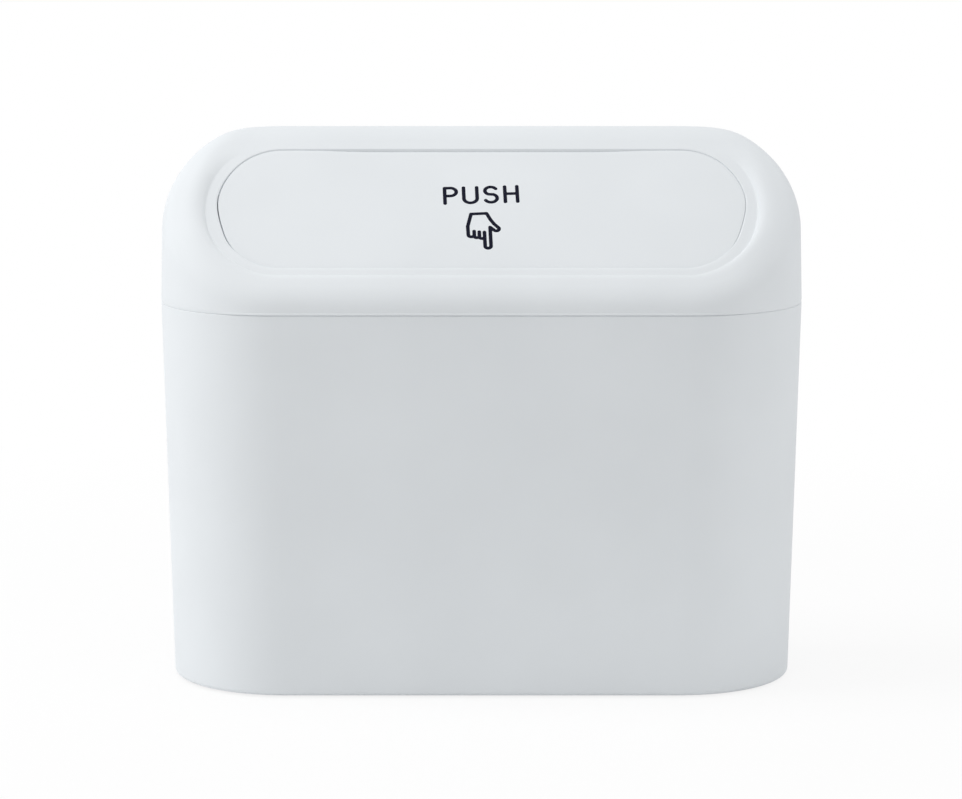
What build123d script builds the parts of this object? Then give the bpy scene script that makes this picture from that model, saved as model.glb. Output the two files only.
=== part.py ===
from build123d import *
import os
from math import asin, atan2, cos, degrees, radians, sin, sqrt, tan

# Push top countertop bin: a slim tub, a lift-off lid and a sprung flap in the lid's sloping face.
# Millimetres. Origin: middle of the footprint, on the surface that the feet stand on.
# +X runs along the bin, -Y is the front, +Z is up.

# ---------------------------------------------------------------- driving dimensions
# Outline of the bin where tub and lid meet, and how the tub narrows to its base.
LENGTH = 200.0
DEPTH = 74.0
LENGTH_DRAFT = 5.4       # how much shorter the base is than the rim
DEPTH_DRAFT = 0.6        # how much shallower the base is than the rim
RIM_Z = 118.8            # top of the tub's rim

# Tub.
TUB_WALL = 2.2
TUB_FLOOR = 3.0
TUB_BASE_ROUND = 1.4     # outer edge round the base
TUB_INNER_ROUND = 4.0    # inner corner round the floor
RIM_ROUND = 0.35         # rounding outside the rim, and lead inside it
BASE_RIM = 5.0           # width of the rim left round the hollow underside
BASE_HOLLOW = 1.0
FOOT_D = 12.0
FOOT_PROUD = 0.6         # how far the feet stand out of the base
FOOT_SET = 1.4           # how deep they sit in their rings
FOOT_CLEARANCE = 0.15
FOOT_RING = 2.0
FOOT_ROUND = 0.4
FOOT_END_SETBACK = 27.3  # foot's middle, in from the end of the base
FOOT_SIDE_SETBACK = 15.7  # the same from the base's front and rear

# Lid cover.
SEAM_GAP = 0.4           # shadow line between rim and cover
LID_WALL = 2.2
LID_DRAFT = 1.5
LID_ROLL = 9.5           # rounding from the walls into the top
LID_EDGE_ROUND = 0.3
FACE_TILT = 39.0         # slope of the face at the middle of the flap
FACE_BOW = 800.0         # the face is very slightly domed from front to rear
FRONT_RISE = 6.7         # height over the rim at which the face would meet the front
FRONT_BAND = 5.9         # from the lid's front to the recess
REAR_BAND = 20.9         # from the recess to the lid's rear
END_BAND = 13.9          # from the recess to the lid's ends
CROWN_SETBACK = 21.6     # from the lid's rear to where the slope turns over into the crest
CROWN_R = 18.0
CREST_TILT = 8.0
RECESS_FRONT = 0.8       # depth of the recess round the flap, fading out to the rear
RECESS_FADE = 1.4
LEDGE = 4.0              # flat ledge between recess edge and flap opening, at the ends
LEDGE_SIDE = 4.0         # the same in front and behind
OPENING_ROUND = 0.35

# Flap.
FLAP_GAP = 0.5
FLAP_SINK = 0.3          # flap surface below the ledge
FLAP_SKIN = 2.0
FLAP_EDGE_ROUND = 0.4
BACK_HEIGHT = 4.0
BACK_FLOOR = 1.5
BACK_WALL = 1.6
BACK_INSET = 1.2
FLAP_BOSS_D = 4.4
FLAP_BOSS_HEIGHT = 2.2
SPOT_FACE = 0.3          # flat seat for each screw head in the tray's domed floor
BACK_SEAM = 0.03         # hairline between skin and back
FLAP_SCREW_SETBACK = 8.0  # end screws, inboard of the knuckles
FLAP_SCREW_MARGIN = 12.8  # screws, in from the flap's front and rear edges
RIB_X = 23.0
RIB_WIDTH = 1.2

# Hinge, in the flap's own directions: U up the slope, N out of the face.
AXIS_SETBACK = 0.85      # hinge line, in from the flap's rear edge
AXIS_N = -6.5
PIN_D = 3.0
PIN_RUNNING = 0.06       # radial clearance in the flap's knuckles
PIN_SEAT = 0.02          # radial clearance in the brackets
PIN_CHAMFER = 0.4
KNUCKLE_R = 3.4
KNUCKLE_INSET = 46.0     # knuckle's inner side, in from the lid's end
KNUCKLE_WIDTH = 6.0
KNUCKLE_WEB = 8.0        # length of the web from knuckle to tray
HINGE_RELIEF = 0.6       # space round spring and cheek
WIRE_D = 0.7
COIL_R = 2.8             # mean radius
COIL_TURNS = 5
COIL_PITCH = 0.84
COIL_SIDE_GAP = 0.7
BEND_SWELL = 0.01        # the wire is a touch thicker where a leg leaves the coil
LEG_LENGTH = 15.0
FIXED_LEG_LENGTH = 12.0
LEG_CLEARANCE = 0.05
SPRING_RIB_LENGTH = 6.0
SPRING_RIB_WIDTH = 2.6
CHEEK_WIDTH = 4.0
BRACKET_THICK = 3.0
BRACKET_LAP = 1.0        # how far the bracket's plate runs inboard of the knuckle
BRACKET_LENGTH = 27.0
BRACKET_OFFSET = 4.25    # front edge of the bracket's plate, behind the hinge line
BRACKET_DEPTH = 8.4
BRACKET_ROUND = 1.5
BRACKET_SCREW_MARGIN = 4.8
ARM_OVERLAP = 2.4        # how far the cheek's arm runs over the plate

# Front stops on the flap, with their soft buffers.
STOP_X = 20.0
STOP_WIDTH = 12.0
STOP_ROOT = 6.0          # how far the stop runs back into the tray
STOP_MARGIN = 0.45       # ledge or stop left on each side of the buffer
STOP_THICK = 1.8
BUFFER_D = 3.2
BUFFER_HEIGHT = 1.2
BUFFER_SET = 0.4
BUFFER_GAP = 0.25

# Inner frame of the lid.
FLANGE_SETBACK = 0.9     # flange edge behind the outer wall
FLANGE_THICK = 2.0
FLANGE_GAP = 0.1
SKIRT_HEIGHT = 10.3
SKIRT_WALL = 1.8
SKIRT_CLEARANCE = 0.3
SKIRT_LEAD = 0.8
THROAT_SETBACK = 12.2    # from the bin's end to the throat
LUG_WIDTH = 9.0
LUG_MARGIN = 3.4         # material between a screw and the throat

# Screws: one size throughout, self-tapping.
SCREW_D = 2.2
SCREW_HEAD_D = 4.2
SCREW_HEAD = 1.4
SCREW_LENGTH = 7.0
SHORT_SCREW_LENGTH = 3.6
SCREW_HOLE = 0.2         # radial clearance where a screw passes through
PILOT_CLEARANCE = 0.02
PILOT_SPARE = 0.6        # depth of the pilot hole past the screw's point
DRIVE_WIDTH = 0.6
DRIVE_DEPTH = 0.7
BOSS_D = 5.6
END_SCREW_SETBACK = 10.5
END_SCREW_Y = 11.0
SIDE_SCREW_X = 40.0
REAR_SCREW_SETBACK = 8.4
FRONT_SCREW_SETBACK = 6.4

# ---------------------------------------------------------------- derived sizes
BASE_LENGTH = LENGTH - LENGTH_DRAFT
BASE_DEPTH = DEPTH - DEPTH_DRAFT
FOOT_X = BASE_LENGTH / 2 - FOOT_END_SETBACK
FOOT_Y = BASE_DEPTH / 2 - FOOT_SIDE_SETBACK
TUB_BOTTOM_Z = FOOT_PROUD
TUB_HEIGHT = RIM_Z - TUB_BOTTOM_Z
COVER_Z = RIM_Z + SEAM_GAP
FLANGE_TOP_Z = RIM_Z + FLANGE_THICK
RECESS_LENGTH = LENGTH - 2 * END_BAND
RECESS_DEPTH = DEPTH - FRONT_BAND - REAR_BAND
OPENING_LENGTH = RECESS_LENGTH - 2 * LEDGE
OPENING_DEPTH = RECESS_DEPTH - 2 * LEDGE_SIDE
FLAP_LENGTH = OPENING_LENGTH - 2 * FLAP_GAP
FLAP_DEPTH = OPENING_DEPTH - 2 * FLAP_GAP
FACE_Y = FRONT_BAND + RECESS_DEPTH / 2 - DEPTH / 2
FACE_Z = RIM_Z + FRONT_RISE + (DEPTH / 2 + FACE_Y) * tan(radians(FACE_TILT))
CROWN_Y = DEPTH / 2 - CROWN_SETBACK
SKY_Z = FACE_Z + DEPTH   # safely above the whole lid
RECESS_SPAN = RECESS_DEPTH / cos(radians(FACE_TILT))
RECESS_TILT = degrees(atan2(RECESS_FRONT, RECESS_SPAN - RECESS_FADE))
FLAP_TILT = FACE_TILT + RECESS_TILT
RECESS_MIDDLE = RECESS_FRONT * (RECESS_SPAN / 2 - RECESS_FADE) / (RECESS_SPAN - RECESS_FADE)
FLAP_BACK_N = FLAP_SINK + FLAP_SKIN + BACK_HEIGHT
FLAP_HALF_U = FLAP_DEPTH / 2 / cos(radians(FLAP_TILT))
FLAP_SCREW_U = FLAP_HALF_U - FLAP_SCREW_MARGIN
AXIS_U = FLAP_HALF_U - AXIS_SETBACK
KNUCKLE_X = LENGTH / 2 - KNUCKLE_INSET
FLAP_SCREW_X = KNUCKLE_X - FLAP_SCREW_SETBACK
BRACKET_X = KNUCKLE_X - BRACKET_LAP
THROAT_LENGTH = LENGTH - 2 * THROAT_SETBACK
END_SCREW_X = LENGTH / 2 - END_SCREW_SETBACK
REAR_SCREW_Y = DEPTH / 2 - REAR_SCREW_SETBACK
FRONT_SCREW_Y = FRONT_SCREW_SETBACK - DEPTH / 2

COIL_X = KNUCKLE_X + KNUCKLE_WIDTH + COIL_SIDE_GAP + WIRE_D / 2
COIL_END_TURN = COIL_TURNS - FLAP_TILT / 360
COIL_LENGTH = COIL_PITCH * COIL_END_TURN
CHEEK_X = COIL_X + COIL_LENGTH + WIRE_D / 2 + COIL_SIDE_GAP
LEG_REACH = COIL_R + WIRE_D / 2 + LEG_CLEARANCE


def outward(tilt):
    """Unit vector (y, z) square to a surface that slopes up to the rear by tilt degrees."""
    return Vector(0, -sin(radians(tilt)), cos(radians(tilt)))


def along(tilt):
    """Unit vector up a surface that slopes up to the rear by tilt degrees."""
    return Vector(0, cos(radians(tilt)), sin(radians(tilt)))


FACE_POINT = Vector(0, FACE_Y, FACE_Z)
BOW_CENTRE = FACE_POINT - outward(FACE_TILT) * FACE_BOW
CROWN_TILT = degrees(asin((BOW_CENTRE.Y - CROWN_Y) / FACE_BOW))
CROWN_CENTRE = BOW_CENTRE + outward(CROWN_TILT) * (FACE_BOW - CROWN_R)
FLAP_POINT = FACE_POINT - outward(FACE_TILT) * RECESS_MIDDLE
FLAP_FRAME = Plane(origin=FLAP_POINT, x_dir=(1, 0, 0), z_dir=outward(FLAP_TILT))
HINGE = FLAP_POINT + along(FLAP_TILT) * AXIS_U + outward(FLAP_TILT) * AXIS_N
# An upright wall leans in the flap's directions, so the opening's front edge moves with depth.
LEDGE_EDGE_N = -LID_WALL - BUFFER_HEIGHT
LEDGE_EDGE_Y = FACE_Y - OPENING_DEPTH / 2 - FLAP_POINT.Y
LEDGE_EDGE_U = LEDGE_EDGE_Y / cos(radians(FLAP_TILT)) + LEDGE_EDGE_N * tan(radians(FLAP_TILT))
BUFFER_U = LEDGE_EDGE_U - STOP_MARGIN - BUFFER_D / 2
LEDGE_UNDER_N = RECESS_FRONT - LID_WALL - BUFFER_U**2 / (2 * FACE_BOW)
BUFFER_TOP_N = LEDGE_UNDER_N - BUFFER_GAP
STOP_TOP_N = BUFFER_TOP_N - BUFFER_HEIGHT + BUFFER_SET
STOP_END_U = BUFFER_U - BUFFER_D / 2 - STOP_MARGIN
STOP_ROOT_U = LEDGE_EDGE_U + STOP_ROOT
BRACKET_Y = HINGE.Y + BRACKET_OFFSET
BRACKET_Z = HINGE.Z - COIL_R + WIRE_D / 2 + LEG_CLEARANCE
BRACKET_TOP_Z = BRACKET_Z + BRACKET_THICK
BRACKET_SCREW_Y = BRACKET_Y + BRACKET_DEPTH / 2
BRACKET_SCREW_XS = (BRACKET_X + BRACKET_SCREW_MARGIN, BRACKET_X + BRACKET_LENGTH - BRACKET_SCREW_MARGIN)


# ---------------------------------------------------------------- shared shapes
def oblong(length, depth, y=0.0, z=0.0):
    """Flat outline with full round ends."""
    return Pos(0, y, z) * SlotOverall(length, depth)


def tub_block(low, high, inset=0.0, flare=0.0):
    """Solid that keeps to the tub's drafted walls, set in by inset, and by flare less at the top."""
    sections = []
    for z, step in ((low, inset), (high, inset - flare)):
        share = (z - TUB_BOTTOM_Z) / TUB_HEIGHT
        length = BASE_LENGTH + LENGTH_DRAFT * share - 2 * step
        depth = BASE_DEPTH + DEPTH_DRAFT * share - 2 * step
        sections.append(oblong(length, depth, z=z))
    return loft(sections, ruled=True)


def profile_block(*edges):
    """Solid along X from edges drawn in the YZ plane."""
    return extrude(make_face(Wire(edges)), LENGTH, both=True, dir=(1, 0, 0))


def below_face(drop):
    """Everything under the lid's top, which runs up the face, over the crown and along the crest."""
    front_tilt = degrees(asin((BOW_CENTRE.Y + DEPTH) / FACE_BOW))
    face = [BOW_CENTRE + outward(t) * (FACE_BOW - drop)
            for t in (front_tilt, (front_tilt + CROWN_TILT) / 2, CROWN_TILT)]
    crown = [CROWN_CENTRE + outward(t) * (CROWN_R - drop)
             for t in (CROWN_TILT, (CROWN_TILT + CREST_TILT) / 2, CREST_TILT)]
    rear = crown[-1] + along(CREST_TILT) * DEPTH
    low_rear = Vector(0, rear.Y, 0)
    low_front = Vector(0, face[0].Y, 0)
    return profile_block(
        ThreePointArc(*face),
        ThreePointArc(face[-1], crown[1], crown[2]),
        Line(crown[2], rear),
        Line(rear, low_rear),
        Line(low_rear, low_front),
        Line(low_front, face[0]),
    )


def below_flap_face(drop):
    """Everything under the ledge's surface, lowered by drop; the flap keeps to the same dome."""
    centre = FLAP_POINT - outward(FLAP_TILT) * FACE_BOW
    spread = degrees(DEPTH / FACE_BOW)
    arc = [centre + outward(FLAP_TILT + t) * (FACE_BOW - drop) for t in (spread, 0, -spread)]
    low_rear = Vector(0, arc[2].Y, 0)
    low_front = Vector(0, arc[0].Y, 0)
    return profile_block(
        ThreePointArc(*arc),
        Line(arc[2], low_rear),
        Line(low_rear, low_front),
        Line(low_front, arc[0]),
    )


def flap_prism(length, depth):
    """Upright prism over an outline that is centred on the flap."""
    low = RIM_Z - DEPTH
    return extrude(oblong(length, depth, y=FACE_Y, z=low), SKY_Z - low)


def flap_slab(length, depth, top, bottom):
    """Domed slab between two drops under the ledge's surface."""
    return flap_prism(length, depth) & below_flap_face(top) - below_flap_face(bottom)


def flap_box(width, length, height, x, u, n):
    """Box in the flap's directions, centred on x and u, with its top at n."""
    return FLAP_FRAME.location * Pos(x, u, n - height / 2) * Box(width, length, height)


def flap_pin(diameter, height, x, u, n):
    """Round bar square to the flap, with its top at n."""
    return FLAP_FRAME.location * Pos(x, u, n - height / 2) * Cylinder(diameter / 2, height)


def hinge_bar(radius, start, width):
    """Round bar along the hinge line."""
    return Pos(start + width / 2, HINGE.Y, HINGE.Z) * Rot(0, 90, 0) * Cylinder(radius, width)


def screw(length):
    """Pan head screw, point up, with its head's seat at the origin."""
    head = Pos(0, 0, -SCREW_HEAD / 2) * Cylinder(SCREW_HEAD_D / 2, SCREW_HEAD)
    head = fillet(head.edges().group_by(Axis.Z)[0], SCREW_HEAD * 0.45)
    shank = Pos(0, 0, length / 2) * Cylinder(SCREW_D / 2, length)
    shank = chamfer(shank.edges().group_by(Axis.Z)[-1], SCREW_D * 0.3)
    slots = Box(SCREW_HEAD_D * 0.6, DRIVE_WIDTH, 2 * DRIVE_DEPTH)
    slots += Box(DRIVE_WIDTH, SCREW_HEAD_D * 0.6, 2 * DRIVE_DEPTH)
    return head + shank - Pos(0, 0, -SCREW_HEAD) * slots


def upright_bar(diameter, x, y, low, high):
    """Round bar between two heights."""
    return Pos(x, y, (low + high) / 2) * Cylinder(diameter / 2, high - low)


def both_sides(x_values, y_values):
    """Points mirrored left and right."""
    return [(side * x, y) for side in (-1, 1) for x in x_values for y in y_values]


FRAME_SCREW_POINTS = (
    both_sides([END_SCREW_X], [-END_SCREW_Y, END_SCREW_Y])
    + both_sides([SIDE_SCREW_X], [FRONT_SCREW_Y, REAR_SCREW_Y])
)
BRACKET_SCREW_POINTS = both_sides(BRACKET_SCREW_XS, [BRACKET_SCREW_Y])
FLAP_SCREW_POINTS = both_sides([FLAP_SCREW_X], [-FLAP_SCREW_U, FLAP_SCREW_U]) + [
    (0, -FLAP_SCREW_U), (0, FLAP_SCREW_U)]
FOOT_POINTS = {
    "foot_front_left": (-FOOT_X, -FOOT_Y),
    "foot_front_right": (FOOT_X, -FOOT_Y),
    "foot_rear_left": (-FOOT_X, FOOT_Y),
    "foot_rear_right": (FOOT_X, FOOT_Y),
}


# ---------------------------------------------------------------- tub and feet
def make_tub():
    """Drafted tub with a hollow underside and four rings for the feet."""
    body = tub_block(TUB_BOTTOM_Z, RIM_Z)
    body = fillet(body.edges().group_by(Axis.Z)[0], TUB_BASE_ROUND)
    body = fillet(body.edges().group_by(Axis.Z)[-1], RIM_ROUND)
    cavity = tub_block(TUB_BOTTOM_Z + TUB_FLOOR, RIM_Z + 1, TUB_WALL)
    cavity = fillet(cavity.edges().group_by(Axis.Z)[0], TUB_INNER_ROUND)
    body -= cavity
    body -= tub_block(RIM_Z - RIM_ROUND, RIM_Z, TUB_WALL, RIM_ROUND)
    hollow = tub_block(0, TUB_BOTTOM_Z + BASE_HOLLOW, BASE_RIM)
    for x, y in FOOT_POINTS.values():
        hollow -= upright_bar(FOOT_D + 2 * FOOT_RING, x, y, 0, RIM_Z)
    body -= hollow
    for x, y in FOOT_POINTS.values():
        ring_d = FOOT_D + 2 * FOOT_CLEARANCE
        body -= upright_bar(ring_d, x, y, 0, TUB_BOTTOM_Z + FOOT_SET)
    return body


def make_foot(x, y):
    """Soft round pad, set in its ring."""
    pad = upright_bar(FOOT_D, x, y, 0, FOOT_PROUD + FOOT_SET)
    return fillet(pad.edges().group_by(Axis.Z)[0], FOOT_ROUND)


# ---------------------------------------------------------------- lid
def is_roll_edge(edge, low):
    """True for an edge where the lid's walls meet its top."""
    middle = edge @ 0.5
    rises = abs((edge % 0.5).Z) > 0.95
    crosses = abs((edge % 0.5).X) > 0.99 and abs(middle.Y) < DEPTH / 2 - LID_ROLL
    return middle.Z > low + 1 and not rises and not crosses


def lid_block(low, inset, roll):
    """Solid lid: drafted walls under the face, crown and crest, rolled over at the top."""
    walls = extrude(oblong(LENGTH - 2 * inset, DEPTH - 2 * inset, z=low), SKY_Z - low, taper=LID_DRAFT)
    block = walls & below_face(inset)
    return fillet([e for e in block.edges() if is_roll_edge(e, low)], roll)


def make_cover():
    """Outer shell of the lid, with recess, flap opening and screw bosses."""
    outer = lid_block(COVER_Z, 0, LID_ROLL)
    outer = fillet(outer.edges().group_by(Axis.Z)[0], LID_EDGE_ROUND)
    cover = outer - lid_block(COVER_Z, LID_WALL, LID_ROLL - LID_WALL)
    lip = 2 * (FLANGE_SETBACK - FLANGE_GAP)
    cover -= extrude(oblong(LENGTH - lip, DEPTH - lip, z=COVER_Z), FLANGE_TOP_Z - COVER_Z)
    bosses = [upright_bar(BOSS_D, x, y, FLANGE_TOP_Z, SKY_Z) for x, y in FRAME_SCREW_POINTS]
    bosses += [upright_bar(BOSS_D, x, y, BRACKET_TOP_Z, SKY_Z) for x, y in BRACKET_SCREW_POINTS]
    core = lid_block(COVER_Z, LID_WALL / 2, LID_ROLL - LID_WALL / 2)
    for boss in bosses:
        cover += boss & core
    pilot_d = SCREW_D + 2 * PILOT_CLEARANCE
    frame_depth = SCREW_LENGTH - FLANGE_THICK + PILOT_SPARE
    bracket_depth = SCREW_LENGTH - BRACKET_THICK + PILOT_SPARE
    for x, y in FRAME_SCREW_POINTS:
        cover -= upright_bar(pilot_d, x, y, FLANGE_TOP_Z, FLANGE_TOP_Z + frame_depth)
    for x, y in BRACKET_SCREW_POINTS:
        cover -= upright_bar(pilot_d, x, y, BRACKET_TOP_Z, BRACKET_TOP_Z + bracket_depth)
    cover -= flap_prism(RECESS_LENGTH, RECESS_DEPTH) - below_flap_face(0)
    cover -= flap_prism(OPENING_LENGTH, OPENING_DEPTH)
    return fillet([e for e in cover.edges() if is_opening_edge(e)], OPENING_ROUND)


def is_opening_edge(edge):
    """True for an edge where the ledge meets the flap opening."""
    middle = edge @ 0.5
    half_straight = (OPENING_LENGTH - OPENING_DEPTH) / 2
    past_end = max(abs(middle.X) - half_straight, 0)
    on_outline = abs(sqrt(past_end**2 + (middle.Y - FACE_Y) ** 2) - OPENING_DEPTH / 2) < FLAP_GAP / 2
    return on_outline and edge_height(middle) > -OPENING_ROUND and abs((edge % 0.5).Z) < 0.99


def edge_height(point):
    """Height of a point over the ledge's domed surface."""
    local = FLAP_FRAME.to_local_coords(point)
    return local.Z + local.Y**2 / (2 * FACE_BOW)


def make_frame():
    """Inner frame: a flange that rests on the rim, and a skirt that locates the lid in the tub."""
    inner = TUB_WALL + SKIRT_CLEARANCE
    low = RIM_Z - SKIRT_HEIGHT
    skirt = tub_block(low, RIM_Z, inner)
    skirt = chamfer(skirt.edges().group_by(Axis.Z)[0], SKIRT_LEAD)
    throat_depth = DEPTH - 2 * (inner + SKIRT_WALL)
    outline = oblong(LENGTH - 2 * FLANGE_SETBACK, DEPTH - 2 * FLANGE_SETBACK, z=RIM_Z)
    flange = extrude(outline - oblong(THROAT_LENGTH, throat_depth, z=RIM_Z), FLANGE_THICK)
    frame = flange + (skirt - tub_block(low, RIM_Z, inner + SKIRT_WALL))
    for x, y in both_sides([SIDE_SCREW_X], [FRONT_SCREW_Y, REAR_SCREW_Y]):
        side = 1 if y > 0 else -1
        edge = throat_depth / 2 + SKIRT_WALL / 2
        reach = edge - (abs(y) - LUG_MARGIN)
        middle = Pos(x, side * (edge - reach / 2), RIM_Z + FLANGE_THICK / 2)
        frame += middle * Box(LUG_WIDTH, reach, FLANGE_THICK)
    for x, y in FRAME_SCREW_POINTS:
        frame -= upright_bar(SCREW_D + 2 * SCREW_HOLE, x, y, RIM_Z - SCREW_HEAD, FLANGE_TOP_Z + 1)
    return frame


def make_bracket():
    """Right-hand hinge bracket: a plate under two bosses, and a cheek that holds the pin."""
    plate = Box(BRACKET_LENGTH, BRACKET_DEPTH, BRACKET_THICK)
    plate = fillet(plate.edges().filter_by(Axis.Z), BRACKET_ROUND)
    plate = Pos(BRACKET_X + BRACKET_LENGTH / 2, BRACKET_SCREW_Y, BRACKET_Z + BRACKET_THICK / 2) * plate
    arm_depth = BRACKET_Y + ARM_OVERLAP - HINGE.Y
    arm = Pos(CHEEK_X + CHEEK_WIDTH / 2, HINGE.Y + arm_depth / 2, HINGE.Z)
    arm = arm * Box(CHEEK_WIDTH, arm_depth, 2 * KNUCKLE_R)
    bracket = plate + arm + hinge_bar(KNUCKLE_R, CHEEK_X, CHEEK_WIDTH)
    bracket -= hinge_bar(PIN_D / 2 + PIN_SEAT, CHEEK_X - 1, CHEEK_WIDTH + 2)
    for x in BRACKET_SCREW_XS:
        bracket -= upright_bar(SCREW_D + 2 * SCREW_HOLE, x, BRACKET_SCREW_Y, BRACKET_Z - 1, BRACKET_TOP_Z + 1)
    return bracket


def make_pin():
    """Right-hand hinge pin, from the flap's knuckle through the spring into the bracket."""
    start = KNUCKLE_X + PIN_CHAMFER
    pin = hinge_bar(PIN_D / 2, start, CHEEK_X + CHEEK_WIDTH - PIN_CHAMFER - start)
    return chamfer(pin.edges().filter_by(GeomType.CIRCLE), PIN_CHAMFER)


def make_spring():
    """Right-hand torsion spring: close coils, one leg under the flap, one under the bracket."""
    start = Plane(origin=(COIL_X, HINGE.Y, HINGE.Z), x_dir=outward(FLAP_TILT) * -1, z_dir=(1, 0, 0))
    path = start.location * Helix(COIL_PITCH, COIL_LENGTH, COIL_R)
    spring = sweep((path ^ 0) * Circle(WIRE_D / 2), path=path, is_frenet=True)
    for point, direction, length in (
        (path @ 0, along(FLAP_TILT) * -1, LEG_LENGTH),
        (path @ 1, Vector(0, 1, 0), FIXED_LEG_LENGTH),
    ):
        spring += Pos(point) * Sphere(WIRE_D / 2 + BEND_SWELL)
        spring += spring_leg(point, direction, length)
    return spring


def spring_leg(point, direction, length):
    """Straight leg that leaves the coil at a point."""
    start = Plane(origin=point, z_dir=direction)
    return extrude(start * Circle(WIRE_D / 2), length)


# ---------------------------------------------------------------- flap
def make_flap_panel():
    """Visible skin of the flap, with bosses for the screws of its back."""
    seat = FLAP_SINK + FLAP_SKIN
    panel = flap_slab(FLAP_LENGTH, FLAP_DEPTH, FLAP_SINK, seat)
    top_edges = [e for e in panel.edges() if is_flap_top_edge(e)]
    panel = fillet(top_edges, FLAP_EDGE_ROUND)
    boss_end = seat + FLAP_BOSS_HEIGHT
    for x, u in FLAP_SCREW_POINTS:
        boss = flap_pin(FLAP_BOSS_D, boss_end + 2, x, u, 1) - below_flap_face(boss_end)
        panel += boss & below_flap_face(seat - FLAP_SKIN / 2)
    for x, u in FLAP_SCREW_POINTS:
        panel -= flap_pin(SCREW_D + 2 * PILOT_CLEARANCE, BACK_HEIGHT, x, u, FLAP_SKIN / 2 - seat)
    return panel


def is_flap_top_edge(edge):
    """True for an edge round the top of the flap's skin."""
    return abs(edge_height(edge @ 0.5) + FLAP_SINK) < FLAP_SKIN / 4


def make_flap_back():
    """Shallow tray that closes the flap from below, with knuckles, spring ribs and stops."""
    seat = FLAP_SINK + FLAP_SKIN + BACK_SEAM
    length = FLAP_LENGTH - 2 * BACK_INSET
    depth = FLAP_DEPTH - 2 * BACK_INSET
    back = flap_slab(length, depth, seat, FLAP_BACK_N)
    inside = flap_slab(length - 2 * BACK_WALL, depth - 2 * BACK_WALL, seat, FLAP_BACK_N - BACK_FLOOR)
    for side in (-1, 1):
        inside -= flap_box(RIB_WIDTH, 2 * FLAP_DEPTH, 2 * FLAP_BACK_N, side * RIB_X, 0, 0)
    for x, u in FLAP_SCREW_POINTS:
        pad = flap_pin(FLAP_BOSS_D + 1, FLAP_BACK_N, x, u, 0) & below_flap_face(seat + FLAP_BOSS_HEIGHT)
        inside -= pad
    back -= inside
    relief_x = KNUCKLE_X + KNUCKLE_WIDTH
    relief_width = CHEEK_X + CHEEK_WIDTH + HINGE_RELIEF - relief_x
    for side in (-1, 1):
        relief_start = relief_x if side > 0 else -relief_x - relief_width
        back -= hinge_bar(KNUCKLE_R + HINGE_RELIEF, relief_start, relief_width)
    for side in (-1, 1):
        back += make_knuckle(side) + make_spring_rib(side)
        back += make_stop(side)
    for x, u in FLAP_SCREW_POINTS:
        back -= flap_pin(SCREW_D + 2 * SCREW_HOLE, FLAP_BACK_N, x, u, -seat)
        back -= flap_pin(SCREW_HEAD_D + 2 * SCREW_HOLE, FLAP_BACK_N, x, u, SPOT_FACE - FLAP_BACK_N)
    return back


def make_knuckle(side):
    """Knuckle with its web, bored for the pin."""
    start = KNUCKLE_X if side > 0 else -KNUCKLE_X - KNUCKLE_WIDTH
    web_top = -FLAP_SINK - FLAP_SKIN - 1
    web_height = web_top - (AXIS_N - KNUCKLE_R)
    middle_x = start + KNUCKLE_WIDTH / 2
    web = flap_box(KNUCKLE_WIDTH, KNUCKLE_WEB, web_height, middle_x, AXIS_U - KNUCKLE_WEB / 2, web_top)
    knuckle = hinge_bar(KNUCKLE_R, start, KNUCKLE_WIDTH) + web
    return knuckle - hinge_bar(PIN_D / 2 + PIN_RUNNING, start, KNUCKLE_WIDTH)


def make_spring_rib(side):
    """Rib that the spring's leg bears against."""
    top = BACK_FLOOR / 2 - FLAP_BACK_N
    height = top - (AXIS_N - LEG_REACH + WIRE_D + 2 * LEG_CLEARANCE)
    u = AXIS_U - LEG_LENGTH + SPRING_RIB_LENGTH / 2
    return flap_box(SPRING_RIB_WIDTH, SPRING_RIB_LENGTH, height, side * COIL_X, u, top)


def make_stop(side):
    """Tongue that stops under the lid's ledge, with a pocket for its buffer."""
    length = STOP_ROOT_U - STOP_END_U
    stop = flap_box(STOP_WIDTH, length, STOP_THICK, side * STOP_X, STOP_ROOT_U - length / 2, STOP_TOP_N)
    return stop - flap_pin(BUFFER_D, BUFFER_SET, side * STOP_X, BUFFER_U, STOP_TOP_N)


def make_buffer(side):
    """Soft buffer on a stop."""
    buffer = flap_pin(BUFFER_D, BUFFER_HEIGHT, side * STOP_X, BUFFER_U, BUFFER_TOP_N)
    top = buffer.edges().sort_by(Axis(FLAP_FRAME.origin, FLAP_FRAME.z_dir))[-1]
    return fillet(top, BUFFER_SET)


# ---------------------------------------------------------------- fasteners
def make_frame_screws():
    """Screws that hold the inner frame to the cover's bosses."""
    return [Pos(x, y, RIM_Z) * screw(SCREW_LENGTH) for x, y in FRAME_SCREW_POINTS]


def make_bracket_screws():
    """Screws that hold the hinge brackets up against the cover's bosses."""
    return [Pos(x, y, BRACKET_Z) * screw(SCREW_LENGTH) for x, y in BRACKET_SCREW_POINTS]


def make_flap_screws():
    """Short screws that hold the flap's back to its skin."""
    seat = SPOT_FACE - FLAP_BACK_N
    return [FLAP_FRAME.location * Pos(x, u, seat) * screw(SHORT_SCREW_LENGTH) for x, u in FLAP_SCREW_POINTS]


# ---------------------------------------------------------------- files
def save(name, shape):
    """Write one node's STEP file."""
    solids = shape if isinstance(shape, list) else shape.solids()
    node = Compound(label=name, children=list(solids)) if len(solids) > 1 else solids[0]
    node.label = name
    export_step(node, f"parts/{name}.step")


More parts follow.
